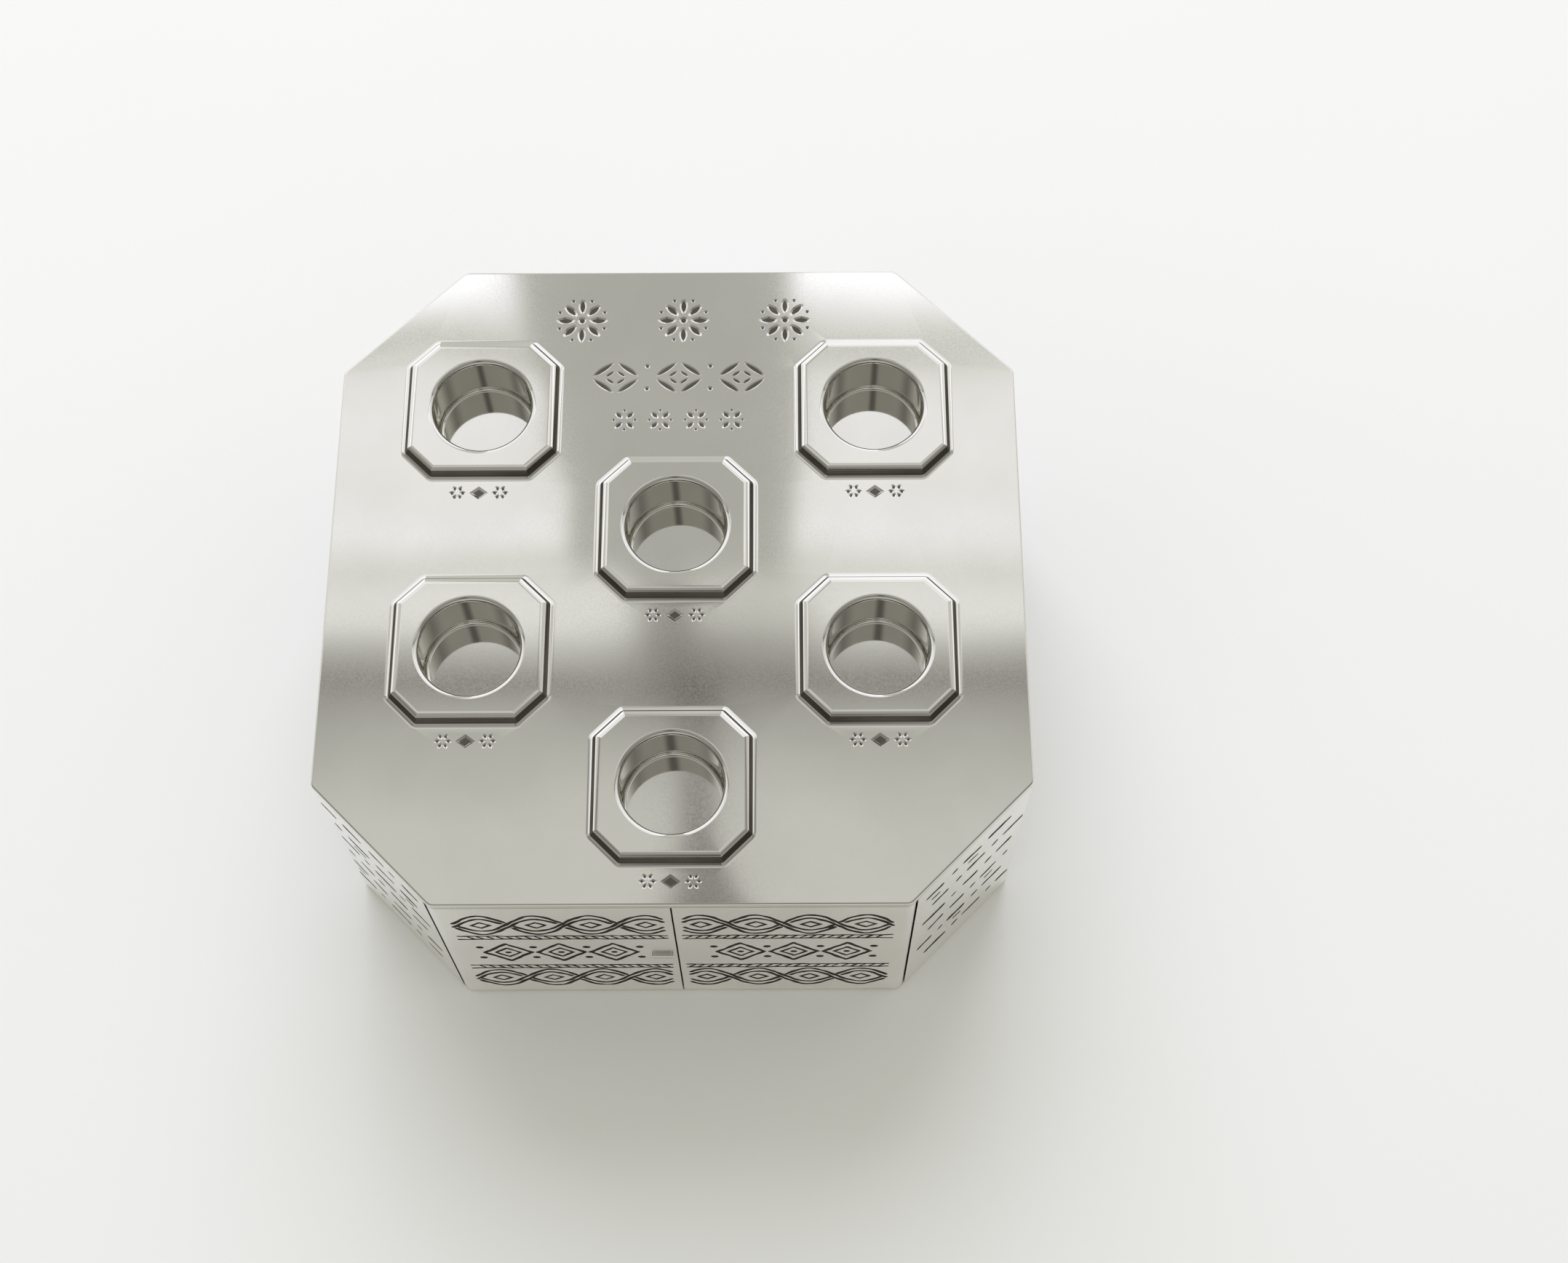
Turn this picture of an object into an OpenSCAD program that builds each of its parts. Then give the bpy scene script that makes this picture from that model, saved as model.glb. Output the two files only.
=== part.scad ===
// Tiered seder plate: an eight-sided metal case with a pair of front doors, three
// tiers for matzah inside, and six lift-out dishes seated in its top plate.
// Millimetres, +Z up, the doors face -Y, origin on the table under the centre.

/* [Body] */
// Width of the case from side to side
body_w = 340; // [320:1:380]
// Depth of the case from front to back
body_d = 340; // [320:1:380]
// Height of the top plate's surface above the table
body_h = 155; // [145:1:175]
// Length that each corner face takes off the straight sides
corner_cut = 59; // [52:1:66]
// Rounding radius of the upright edges, and radius of the door barrels
edge_r = 5; // [4.6:0.1:5.6]
// Thickness of the wall sheet
wall_t = 1; // [0.8:0.1:1.4]
// Width of the thick band round the top plate and round the base plate
band_w = 8; // [7.8:0.1:10]

/* [Top plate] */
// Thickness of the deck
deck_t = 1.5; // [1.2:0.1:2.5]
// Height of the band round the top plate's edge
rim_h = 4.5; // [4:0.1:6]
// Rounding radius of the upper outer edge
top_r = 1; // [0.6:0.1:2.4]
// Height that each dish collar swells above the deck
collar_h = 1.6; // [1:0.1:2.4]
// Distance over which a collar sweeps down to the deck
collar_spread = 4; // [3:0.1:5]

/* [Base plate] */
// Thickness of the base plate's band
base_t = 2.5; // [2.2:0.1:4]
// Thickness of the floor inside the band
floor_t = 1.2; // [0.8:0.1:2]
// Rounding radius of the lower outer edge
base_r = 1; // [0.5:0.1:1.5]
// Radius of the thick rounds under the posts
base_boss_r = 8; // [6:0.5:10]
// Height of the rubber feet
foot_h = 1; // [0.8:0.1:2]
// Radius of a rubber foot
foot_r = 9; // [6:0.5:12]
// Distance from the case's straight sides to the middle of each outer foot
foot_inset = 62; // [58:1:80]

/* [Locating lips] */
// Height of the lips that hold the walls and stop the doors
lip_h = 1.2; // [1:0.1:2]
// Width of the lips
lip_w = 2; // [1.5:0.1:3]
// Gap between a lip and a wall
lip_gap = 0.2; // [0.1:0.05:0.4]

/* [Doors] */
// Thickness of a door leaf
door_t = 1.5; // [1.2:0.1:2]
// Gap above and below a door
door_gap = 0.5; // [0.5:0.1:1]
// Gap between the two doors
seam_gap = 0.6; // [0.4:0.1:1]
// Gap between a closed door and the lips that stop it
stop_gap = 0.3; // [0.2:0.05:0.4]
// Gap between a door barrel and the end of the wall beside it
hinge_gap = 0.8; // [0.8:0.1:1.2]
// Radius of a hinge rod
hinge_rod_r = 1.5; // [1.2:0.1:1.8]
// Depth that a hinge rod reaches into the top plate
rod_seat = 2; // [1:0.1:2.5]
// Running clearance round a hinge rod
rod_gap = 0.05; // [0.03:0.01:0.09]
// Thickness of a hinge washer
washer_t = 0.4; // [0.3:0.05:0.4]

/* [Door handle] */
// Width of the handle bar
handle_w = 12; // [8:0.5:16]
// Height of the handle bar
handle_h = 4.5; // [3:0.5:6]
// Distance that the handle stands off the door
handle_proud = 2; // [1.5:0.1:3]
// Distance from the door's free edge to the handle
handle_from_seam = 1.2; // [1:0.1:5]
// Height of the handle's middle above the table
handle_z = 72; // [60:1:90]
// Radius of the handle's stem
handle_stem_r = 1.2; // [1:0.1:1.5]
// Radius of the nut behind the door
handle_nut_r = 2.8; // [2.2:0.1:3.5]
// Thickness of the nut behind the door
handle_nut_t = 1.2; // [0.8:0.1:1.8]

/* [Door catch] */
// Distance from the seam to the middle of each magnet
magnet_x = 12; // [10:1:18]
// Radius of a magnet
magnet_r = 4; // [3:0.1:5]
// Thickness of a magnet
magnet_t = 1.2; // [1:0.1:1.5]
// Radius of a strike plate
strike_r = 4.5; // [3:0.1:5]
// Thickness of a strike plate
strike_t = 0.8; // [0.6:0.1:1]
// Gap between a magnet and its strike plate
catch_gap = 0.2; // [0.1:0.05:0.3]
// Thickness of the bracket's sheet
bracket_t = 1.2; // [1:0.1:1.6]
// Depth of the bracket's foot under the top plate
bracket_foot = 9; // [7:0.5:12]
// Metal left round each magnet
bracket_margin = 2.5; // [2:0.1:4]

/* [Shelves and posts] */
// Height of the lower shelf's underside above the table
lower_shelf_z = 45; // [40:1:50]
// Height of the upper shelf's underside above the table
upper_shelf_z = 87; // [80:1:92]
// Thickness of a shelf
shelf_t = 1.2; // [0.8:0.1:2]
// Gap between a shelf and the walls
shelf_gap = 1; // [0.5:0.1:2]
// Distance from the door barrels to a shelf's front edge
shelf_setback = 1.5; // [1:0.5:12]
// Distance of a post's middle from the outside of its corner face
post_inset = 12; // [10:0.5:16]
// Radius of a tie rod
tie_rod_r = 2; // [1.5:0.1:2.5]
// Outer radius of a spacer tube and of the boss above it
spacer_r = 5; // [4:0.1:5.5]
// Clearance round a tie rod
tie_gap = 0.1; // [0.05:0.05:0.3]
// Height of the bosses under the deck
boss_h = 5; // [4:0.5:8]
// Radius of a tie nut
nut_r = 4; // [3.5:0.1:5]
// Thickness of a tie nut
nut_t = 1.2; // [1:0.1:1.5]

/* [Dishes] */
// Width of a dish's eight-sided flange
pad_w = 72.4; // [68:0.2:76]
// Length that each corner of the flange is cut
pad_cut = 12.6; // [10:0.2:16]
// Thickness of the flange
pad_t = 3.2; // [2.6:0.1:4]
// Width of the crowned border round the flange's upper face
crown_w = 3; // [2:0.1:4]
// Height that the crowned border falls towards the flange's edge
crown_h = 0.7; // [0.3:0.1:1]
// Rounding radius of the flange's corners
pad_edge_r = 0.8; // [0.4:0.1:1.5]
// Inner radius of the round well
well_r = 24.5; // [21:0.5:27]
// Depth of the well below the flange's upper face
well_depth = 27; // [18:1:34]
// Thickness of the well's wall and floor
well_wall = 1; // [0.8:0.1:2]
// Rounding radius of the well's mouth
mouth_r = 1.8; // [1:0.1:2.2]
// Rounding radius at the well's floor
floor_r = 2; // [1:0.1:4]
// Clearance between a well and its hole in the top plate
dish_gap = 0.4; // [0.2:0.05:0.8]
// Distance from the case's sides to the middle of the four outer dishes
side_dish_inset = 71.7; // [68:0.1:78]
// Distance from the case's back to the middle of the two back dishes
back_dish_inset = 81; // [78:0.5:86]
// Place of the centre dish along Y
centre_dish_y = 22.5; // [15:0.5:30]
// Place of the two middle dishes along Y
middle_dish_y = -42.5; // [-50:0.5:-36]
// Distance from the case's front to the middle of the front dish
front_dish_inset = 58; // [56:0.5:64]

/* [Hidden] */

$fn = 96;
SILVER = [0.80, 0.79, 0.76];
DARK_SILVER = [0.62, 0.61, 0.58];
STEEL = [0.66, 0.67, 0.68];
RUBBER = [0.15, 0.15, 0.15];

// Extra length that runs a cut clean through a surface
past = 1;
// Depth that a joined piece reaches into what carries it
bite = 0.5;
// Space left beyond the end of a rod in a blind hole
end_gap = 0.5;
// Height that rod heads and nuts lie above the base plate's underside
recess = 0.2;
// Size of a hinge rod's head beyond the rod, and its thickness
head_step = 1;
head_t = 0.8;
// Flat steps over a 45 degree corner, a rounded edge, a collar's sweep and a dish's crown
corner_steps = 4;
edge_steps = 4;
sweep_steps = 5;
crown_steps = 3;

base_top = foot_h + base_t;
rim_bottom = body_h - rim_h;
deck_bottom = body_h - deck_t;
wall_h = rim_bottom - base_top;
door_bottom = base_top + door_gap;
door_top = rim_bottom - door_gap;
door_h = door_top - door_bottom;
door_front = -body_d / 2;
door_back = door_front + door_t;
rod_top = rim_bottom + rod_seat;
rod_hole_r = hinge_rod_r + rod_gap;
tie_hole_r = tie_rod_r + tie_gap;
nut_z = foot_h + recess;
boss_bottom = deck_bottom - boss_h;
tie_hole_top = deck_bottom - end_gap;
handle_x = -(seam_gap / 2 + handle_from_seam + handle_w / 2);
magnet_z = rim_bottom - lip_h - magnet_r - bracket_margin;
strike_back = door_back + strike_t;
magnet_front = strike_back + catch_gap;
bracket_front = magnet_front + magnet_t;
bracket_w = 2 * (magnet_x + magnet_r + bracket_margin);
flange_bottom = body_h + collar_h;
flange_top = flange_bottom + pad_t;
well_floor = flange_top - well_depth;
well_bottom = well_floor - well_wall;
cup_r = well_r + well_wall;

side_dish_x = body_w / 2 - side_dish_inset;
back_dish_y = body_d / 2 - back_dish_inset;
front_dish_y = front_dish_inset - body_d / 2;
BACK_LEFT = [-side_dish_x, back_dish_y];
BACK_RIGHT = [side_dish_x, back_dish_y];
CENTRE = [0, centre_dish_y];
MIDDLE_LEFT = [-side_dish_x, middle_dish_y];
MIDDLE_RIGHT = [side_dish_x, middle_dish_y];
FRONT = [0, front_dish_y];
DISH_PLACES = [BACK_LEFT, BACK_RIGHT, CENTRE, MIDDLE_LEFT, MIDDLE_RIGHT, FRONT];
// A post stands behind the middle of each corner face
post_x = (body_w - corner_cut) / 2 - post_inset / sqrt(2);
post_y = (body_d - corner_cut) / 2 - post_inset / sqrt(2);
POST_PLACES = [for (x = [-post_x, post_x], y = [-post_y, post_y]) [x, y]];
foot_x = body_w / 2 - foot_inset;
foot_y = body_d / 2 - foot_inset;
FOOT_PLACES = concat([[0, 0]], [for (x = [-foot_x, foot_x], y = [-foot_y, foot_y]) [x, y]]);

// Corner cut of an eight-sided outline whose faces all move inwards by one distance
function inner_cut(cut, inset) = cut - (2 - sqrt(2)) * inset;

// The eight corners, counterclockwise from the front end of the right side
function octagon_corners(w, d, cut) =
    let (x = w / 2, y = d / 2)
    [[x, cut - y], [x, y - cut], [x - cut, y], [cut - x, y],
     [-x, y - cut], [-x, cut - y], [cut - x, -y], [x - cut, -y]];

// Outline with corners rounded to radius r, as points at height z
function rounded_ring(w, d, cut, r, z) =
    let (centres = octagon_corners(w - 2 * r, d - 2 * r, inner_cut(cut, r)))
    [for (i = [0:7], k = [0:corner_steps])
        let (a = 45 * (i - 1 + k / corner_steps))
        [centres[i][0] + r * cos(a), centres[i][1] + r * sin(a), z]];

// Ring of the case, moved inwards by inset
function case_ring(inset, z) =
    rounded_ring(body_w - 2 * inset, body_d - 2 * inset, inner_cut(corner_cut, inset), edge_r - inset, z);

// Ring of a dish flange, moved inwards by inset
function pad_ring(inset, z) =
    rounded_ring(pad_w - 2 * inset, pad_w - 2 * inset, inner_cut(pad_cut, inset), max(pad_edge_r - inset, 0.1), z);

// Centres of the rounded upright edges; the last is the right door's hinge axis
edge_centres = octagon_corners(body_w - 2 * edge_r, body_d - 2 * edge_r, inner_cut(corner_cut, edge_r));
hinge_axis = edge_centres[7];

// Closed skin over rings that share one count of points, lowest ring first
module skin(rings) {
    n = len(rings[0]);
    top = (len(rings) - 1) * n;
    polyhedron(
        points = [for (ring = rings) each ring],
        faces = concat(
            [[for (i = [0:n - 1]) i]],
            [[for (i = [n - 1:-1:0]) top + i]],
            [for (k = [0:len(rings) - 2], i = [0:n - 1])
                [k * n + i, (k + 1) * n + i, (k + 1) * n + (i + 1) % n]],
            [for (k = [0:len(rings) - 2], i = [0:n - 1])
                [k * n + i, (k + 1) * n + (i + 1) % n, k * n + (i + 1) % n]]));
}

// Flat outline of the case with true round corners, moved inwards by inset
module case_outline(inset) {
    r = edge_r - inset;
    polygon([for (i = [0:7], a = [45 * (i - 1), 45 * i]) edge_centres[i] + r * [cos(a), sin(a)]]);
    for (centre = edge_centres) translate(centre) circle(r);
}

// Plain eight-sided outline, moved inwards by inset
module inner_outline(inset) {
    polygon(octagon_corners(body_w - 2 * inset, body_d - 2 * inset, inner_cut(corner_cut, inset)));
}

// One round of a given radius at each hinge axis
module at_hinges(r, low, high) {
    for (side = [-1, 1])
        translate([side * hinge_axis[0], hinge_axis[1], low]) cylinder(r = r, h = high - low);
}

// One round of a given radius at each post
module at_posts(r, low, high) {
    for (place = POST_PLACES) translate([place[0], place[1], low]) cylinder(r = r, h = high - low);
}

// Lip that locates the walls from inside and stops the closed doors
module locating_lip(low, high) {
    difference() {
        translate([0, 0, low]) linear_extrude(high - low) case_outline(wall_t + lip_gap);
        translate([0, 0, low - past]) linear_extrude(high - low + 2 * past)
            inner_outline(wall_t + lip_gap + lip_w);
        translate([-body_w / 2, door_front - past, low - past])
            cube([body_w, door_t + stop_gap + past, high - low + 2 * past]);
        at_hinges(edge_r + hinge_gap, low - past, high + past);
    }
}

// Slab with a rounded lower edge, hollowed from above inside its band
module base_plate() {
    color(SILVER) difference() {
        union() {
            difference() {
                skin([
                    for (k = [0:edge_steps])
                        let (a = 90 * k / edge_steps)
                        case_ring(base_r * (1 - sin(a)), foot_h + base_r * (1 - cos(a))),
                    case_ring(0, base_top)]);
                translate([0, 0, foot_h + floor_t]) linear_extrude(base_t) inner_outline(band_w);
            }
            at_posts(base_boss_r, foot_h + bite, base_top);
            locating_lip(base_top - bite, base_top + lip_h);
        }
        at_hinges(rod_hole_r, foot_h - past, base_top + past);
        at_hinges(hinge_rod_r + head_step + rod_gap, foot_h - past, foot_h + recess + head_t);
        at_posts(tie_hole_r, foot_h - past, base_top + past);
        at_posts(nut_r + tie_gap, foot_h - past, nut_z + nut_t);
    }
}

module rubber_feet() {
    color(RUBBER) for (place = FOOT_PLACES)
        translate([place[0], place[1], 0]) cylinder(r = foot_r, h = foot_h);
}

// Sheet bent round seven sides, open at the front
module wall_band() {
    color(SILVER) difference() {
        translate([0, 0, base_top]) linear_extrude(wall_h) case_outline(0);
        translate([0, 0, base_top - past]) linear_extrude(wall_h + 2 * past) case_outline(wall_t);
        translate([-hinge_axis[0], door_front - past, base_top - past])
            cube([2 * hinge_axis[0], edge_r + past, wall_h + 2 * past]);
        at_hinges(edge_r + hinge_gap, base_top - past, rim_bottom + past);
    }
}

// Swelling that carries one dish, sweeping down to the deck in a hollow curve
module collar() {
    sweep_r = (collar_spread * collar_spread + collar_h * collar_h) / (2 * collar_h);
    sweep_angle = asin(collar_spread / sweep_r);
    skin([pad_ring(-collar_spread, -bite),
        for (k = [0:sweep_steps])
            let (a = sweep_angle * k / sweep_steps)
            pad_ring(sweep_r * sin(a) - collar_spread, sweep_r * (1 - cos(a)))]);
}

// Slab with a rounded upper edge, hollowed from below inside its band
module top_slab() {
    difference() {
        skin([case_ring(0, rim_bottom),
            for (k = [0:edge_steps])
                let (a = 90 * k / edge_steps)
                case_ring(top_r * (1 - cos(a)), body_h - top_r + top_r * sin(a))]);
        translate([0, 0, rim_bottom - past]) linear_extrude(past + rim_h - deck_t) inner_outline(band_w);
    }
}

module top_plate() {
    color(SILVER) difference() {
        union() {
            top_slab();
            at_posts(spacer_r, boss_bottom, deck_bottom + bite);
            locating_lip(rim_bottom - lip_h, rim_bottom + bite);
            for (place = DISH_PLACES) translate([place[0], place[1], body_h]) collar();
        }
        for (place = DISH_PLACES) translate([place[0], place[1], deck_bottom - past])
            cylinder(r = cup_r + dish_gap, h = deck_t + collar_h + 2 * past);
        at_hinges(rod_hole_r, rim_bottom - past, rod_top + end_gap);
        at_posts(tie_hole_r, boss_bottom - past, tie_hole_top);
    }
}

// Right door: a leaf that runs tangent into its barrel
module door() {
    difference() {
        union() {
            translate([hinge_axis[0], hinge_axis[1], door_bottom]) cylinder(r = edge_r, h = door_h);
            translate([seam_gap / 2, door_front, door_bottom]) cube([hinge_axis[0] - seam_gap / 2, door_t, door_h]);
        }
        at_hinges(rod_hole_r, door_bottom - past, door_top + past);
    }
}

module right_door() {
    color(DARK_SILVER) door();
}

module left_door() {
    color(DARK_SILVER) difference() {
        mirror([1, 0, 0]) door();
        translate([handle_x, door_front - past, handle_z]) rotate([-90, 0, 0])
            cylinder(r = handle_stem_r, h = door_t + 2 * past);
    }
}

// Rod with a flat head let into the base plate's underside
module hinge_rod(side) {
    low = foot_h + recess;
    color(STEEL) translate([side * hinge_axis[0], hinge_axis[1], low]) {
        cylinder(r = hinge_rod_r + head_step, h = head_t);
        cylinder(r = hinge_rod_r, h = rod_top - low);
    }
}

module hinge_washers() {
    color(STEEL) difference() {
        for (z = [base_top, rim_bottom - washer_t]) at_hinges(edge_r - head_step, z, z + washer_t);
        at_hinges(rod_hole_r, base_top - past, rim_bottom + past);
    }
}

// Low bar with round ends, and the stem that goes through the door
module door_handle() {
    end_r = handle_h / 2;
    color(SILVER) translate([handle_x, door_front, handle_z]) rotate([90, 0, 0]) {
        linear_extrude(handle_proud) {
            square([handle_w - handle_h, handle_h], center = true);
            for (side = [-1, 1]) translate([side * (handle_w / 2 - end_r), 0]) circle(end_r);
        }
        translate([0, 0, -door_t - handle_nut_t]) cylinder(r = handle_stem_r, h = door_t + handle_nut_t + bite);
    }
}

module handle_nut() {
    color(STEEL) translate([handle_x, door_back, handle_z]) rotate([-90, 0, 0]) difference() {
        cylinder(r = handle_nut_r, h = handle_nut_t);
        translate([0, 0, -past]) cylinder(r = handle_stem_r, h = handle_nut_t + 2 * past);
    }
}

// Bent sheet that hangs behind the seam and carries the two magnets
module catch_bracket() {
    bottom = magnet_z - magnet_r - bracket_margin;
    color(STEEL) {
        translate([-bracket_w / 2, bracket_front, bottom]) cube([bracket_w, bracket_t, rim_bottom - bottom]);
        translate([-bracket_w / 2, bracket_front, rim_bottom - bracket_t])
            cube([bracket_w, bracket_foot, bracket_t]);
    }
}

module catch_magnets() {
    color(DARK_SILVER) for (side = [-1, 1])
        translate([side * magnet_x, magnet_front, magnet_z]) rotate([-90, 0, 0]) cylinder(r = magnet_r, h = magnet_t);
}

module strike(side) {
    color(STEEL) translate([side * magnet_x, door_back, magnet_z]) rotate([-90, 0, 0])
        cylinder(r = strike_r, h = strike_t);
}

module shelf(z) {
    color(DARK_SILVER) difference() {
        translate([0, 0, z]) linear_extrude(shelf_t) inner_outline(wall_t + shelf_gap);
        translate([-body_w / 2, door_front - past, z - past])
            cube([body_w, past + 2 * edge_r + shelf_setback, shelf_t + 2 * past]);
        at_posts(tie_hole_r, z - past, z + shelf_t + past);
    }
}

module tie_rods() {
    color(STEEL) at_posts(tie_rod_r, nut_z, tie_hole_top - end_gap);
}

module tie_nuts() {
    color(STEEL) difference() {
        at_posts(nut_r, nut_z, nut_z + nut_t);
        at_posts(tie_rod_r, nut_z - past, nut_z + nut_t + past);
    }
}

module spacers(low, high) {
    color(SILVER) difference() {
        at_posts(spacer_r, low, high);
        at_posts(tie_hole_r, low - past, high + past);
    }
}

// Half section of the round well: flat floor, rounded corner, wall and flared mouth
module well_section() {
    polygon(concat(
        [[0, well_floor]],
        [for (a = [-90:15:0]) [well_r - floor_r + floor_r * cos(a), well_floor + floor_r + floor_r * sin(a)]],
        [for (a = [180:-15:90]) [well_r + mouth_r + mouth_r * cos(a), flange_top - mouth_r + mouth_r * sin(a)]],
        [[well_r + mouth_r, flange_top + past], [0, flange_top + past]]));
}

// Half section of the cup's outside, up into the flange
module cup_section() {
    outer_r = floor_r + well_wall;
    polygon(concat(
        [[0, well_bottom]],
        [for (a = [-90:15:0]) [cup_r - outer_r + outer_r * cos(a), well_bottom + outer_r + outer_r * sin(a)]],
        [[cup_r, flange_bottom + bite], [0, flange_bottom + bite]]));
}

// Eight-sided flange with a crowned border, and the cup that hangs below it
module dish(place) {
    crown_r = (crown_w * crown_w + crown_h * crown_h) / (2 * crown_h);
    crown_angle = asin(crown_w / crown_r);
    color(SILVER) translate([place[0], place[1], 0]) difference() {
        union() {
            skin([pad_ring(0, flange_bottom),
                for (k = [crown_steps:-1:0])
                    let (a = crown_angle * k / crown_steps)
                    pad_ring(crown_w - crown_r * sin(a), flange_top - crown_r * (1 - cos(a)))]);
            rotate_extrude() cup_section();
        }
        rotate_extrude() well_section();
    }
}

base_plate();
rubber_feet();
wall_band();
top_plate();
left_door();
right_door();
hinge_rod(-1);  // left_hinge_rod
hinge_rod(1);  // right_hinge_rod
hinge_washers();
door_handle();
handle_nut();
catch_bracket();
catch_magnets();
strike(-1);  // left_strike
strike(1);  // right_strike
shelf(lower_shelf_z);  // lower_shelf
shelf(upper_shelf_z);  // upper_shelf
tie_rods();
tie_nuts();
spacers(base_top, lower_shelf_z);  // lower_spacers
spacers(lower_shelf_z + shelf_t, upper_shelf_z);  // middle_spacers
spacers(upper_shelf_z + shelf_t, boss_bottom);  // upper_spacers
dish(BACK_LEFT);  // back_left_dish
dish(BACK_RIGHT);  // back_right_dish
dish(CENTRE);  // centre_dish
dish(MIDDLE_LEFT);  // middle_left_dish
dish(MIDDLE_RIGHT);  // middle_right_dish
dish(FRONT);  // front_dish
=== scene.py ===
# %% [markdown]
# Tiered seder plate. An eight-sided silver-plated case stands on a pale table. Six dishes sit in
# its top plate, a pair of doors closes its front, and two shelves inside make three tiers.
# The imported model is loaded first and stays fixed. This lesson then dresses it: each outer
# piece gets a finer skin in the same place, and each piece inside gets its finish.

# %% Load the fixed model
import math
import random

import bmesh
import bpy
from mathutils import Matrix, Vector
from mathutils.geometry import delaunay_2d_cdt


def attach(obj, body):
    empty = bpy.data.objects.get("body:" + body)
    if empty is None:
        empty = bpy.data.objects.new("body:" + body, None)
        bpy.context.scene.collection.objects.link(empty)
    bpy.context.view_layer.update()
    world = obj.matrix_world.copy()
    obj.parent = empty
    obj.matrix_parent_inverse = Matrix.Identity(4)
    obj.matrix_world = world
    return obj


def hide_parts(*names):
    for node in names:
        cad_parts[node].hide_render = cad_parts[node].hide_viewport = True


MM = 0.001
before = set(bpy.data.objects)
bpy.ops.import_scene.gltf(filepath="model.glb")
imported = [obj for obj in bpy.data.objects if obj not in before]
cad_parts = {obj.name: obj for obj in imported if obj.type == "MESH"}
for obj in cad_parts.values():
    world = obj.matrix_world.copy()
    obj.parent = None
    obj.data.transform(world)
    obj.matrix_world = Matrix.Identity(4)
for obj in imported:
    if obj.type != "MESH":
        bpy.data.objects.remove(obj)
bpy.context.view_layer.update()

# %% [markdown]
# The camera looks steeply down from the front, 66.6 degrees above the table and a little to the
# right of the middle. Its place and axes are written out as a small matrix, because a matrix
# says exactly which way is right, up and back.

# %% Camera
camera = bpy.data.objects.new("camera", bpy.data.cameras.new("camera"))
bpy.context.scene.collection.objects.link(camera)
bpy.context.scene.camera = camera
right = Vector((1.0, -0.0037, -0.0022)).normalized()
up = Vector((0.0042, 0.9176, 0.3975)).normalized()
back = right.cross(up)
turn = Matrix((right, up, back)).transposed().to_4x4()
camera.matrix_world = Matrix.Translation((0.0535, -0.4761, 1.1773)) @ turn
camera.data.sensor_width = 36
camera.data.lens = 52.97
print("camera elevation:", round(math.degrees(math.asin(back.z)), 2))

# %% [markdown]
# Colours are written as sRGB hex codes, as a paint chart gives them. A shader works with linear
# light, so one function turns the code into linear values.

# %% Colour
def colour(code):
    """Linear red, green, blue and alpha for an sRGB hex code."""
    channels = [int(code[i:i + 2], 16) / 255 for i in (1, 3, 5)]
    linear = [c / 12.92 if c <= 0.04045 else ((c + 0.055) / 1.055) ** 2.4 for c in channels]
    return (*linear, 1.0)


# %% [markdown]
# Every material here is a small tree of nodes. One function adds a node, sets what it is told,
# and fills each input with a value or with a link from another node. Another starts a material.

# %% Add a node
def add_node(tree, kind, settings=None, inputs=None, stops=None):
    """A new node. Inputs are named or numbered; stops are (place, brightness) of a ramp."""
    node = tree.nodes.new(kind)
    for name, value in (settings or {}).items():
        setattr(node, name, value)
    for name, value in (inputs or {}).items():
        if isinstance(value, bpy.types.NodeSocket):
            tree.links.new(value, node.inputs[name])
        else:
            node.inputs[name].default_value = value
    if stops:
        ramp = node.color_ramp
        while len(ramp.elements) < len(stops):
            ramp.elements.new(1.0)
        for element, (place, value) in zip(ramp.elements, stops):
            element.position = place
            element.color = (value, value, value, 1.0)
    return node


def new_material(name):
    """A material, its tree, the inputs of its shader, and the place on the object."""
    made = bpy.data.materials.new(name)
    made.use_nodes = True
    tree = made.node_tree
    place = add_node(tree, "ShaderNodeTexCoord").outputs["Object"]
    return made, tree, tree.nodes["Principled BSDF"].inputs, place


# %% [markdown]
# Polished metal has hardly a look of its own: it shows the room. The studio is therefore part of
# the finish. Overhead there are broad pale panels with a grey gap behind the object, a darker
# beam that crosses them, a lamp stand, and dim slots at both sides. Towards the camera there is a
# dimmer room with a tripod in it, which the walls of the wells show as a dark upright. A ray's
# slope tells where it meets that ceiling: u is its run to the right for each unit that it rises,
# and v its run to the back. The pattern goes to glossy rays alone. Its dim parts are warmer than
# its bright ones. The camera sees a near-white backdrop, and matt surfaces get an even warm light,
# which the cool lamp turns back to white, so that only shadows stay warm.
#
# Three rows give brightness by v: the beams overhead, the room towards the camera, and how dark
# the lamp stand is. Every other shape is given by its soft edges. An edge is written as the two
# slopes between which it fades and, where it doesn't go from 0 to 1, its two levels.

# %% World
BACKDROP = "#f4f4f1"
AMBIENT = (0.657, 0.65, 0.597, 1.0)
BEAMS_SPAN = (0.28, 0.74)
BEAMS = [(0.30, 0.76), (0.343, 0.735), (0.358, 0.67), (0.368, 0.63), (0.387, 0.54), (0.397, 0.47),
         (0.407, 0.30), (0.4168, 0.50), (0.4265, 0.66), (0.436, 0.98), (0.456, 1.02), (0.4706, 0.87),
         (0.482, 1.16), (0.50, 1.09), (0.573, 1.07), (0.589, 0.72), (0.603, 1.0), (0.627, 1.56),
         (0.66, 1.4), (0.70, 1.0)]
ROOM_SPAN = (-4.5, 0.5)
ROOM = [(-4.5, 0.92), (-2.6, 0.82), (-1.5, 0.66), (-1.0, 0.44), (-0.82, 0.26), (-0.71, 0.24),
        (-0.62, 0.46), (-0.4, 0.50), (-0.3, 0.51), (-0.1, 0.54), (0.0, 0.58), (0.1, 0.80),
        (0.2, 1.0), (0.29, 1.0), (0.5, 1.0)]
STAND_SPAN = (0.26, 0.50)
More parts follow.
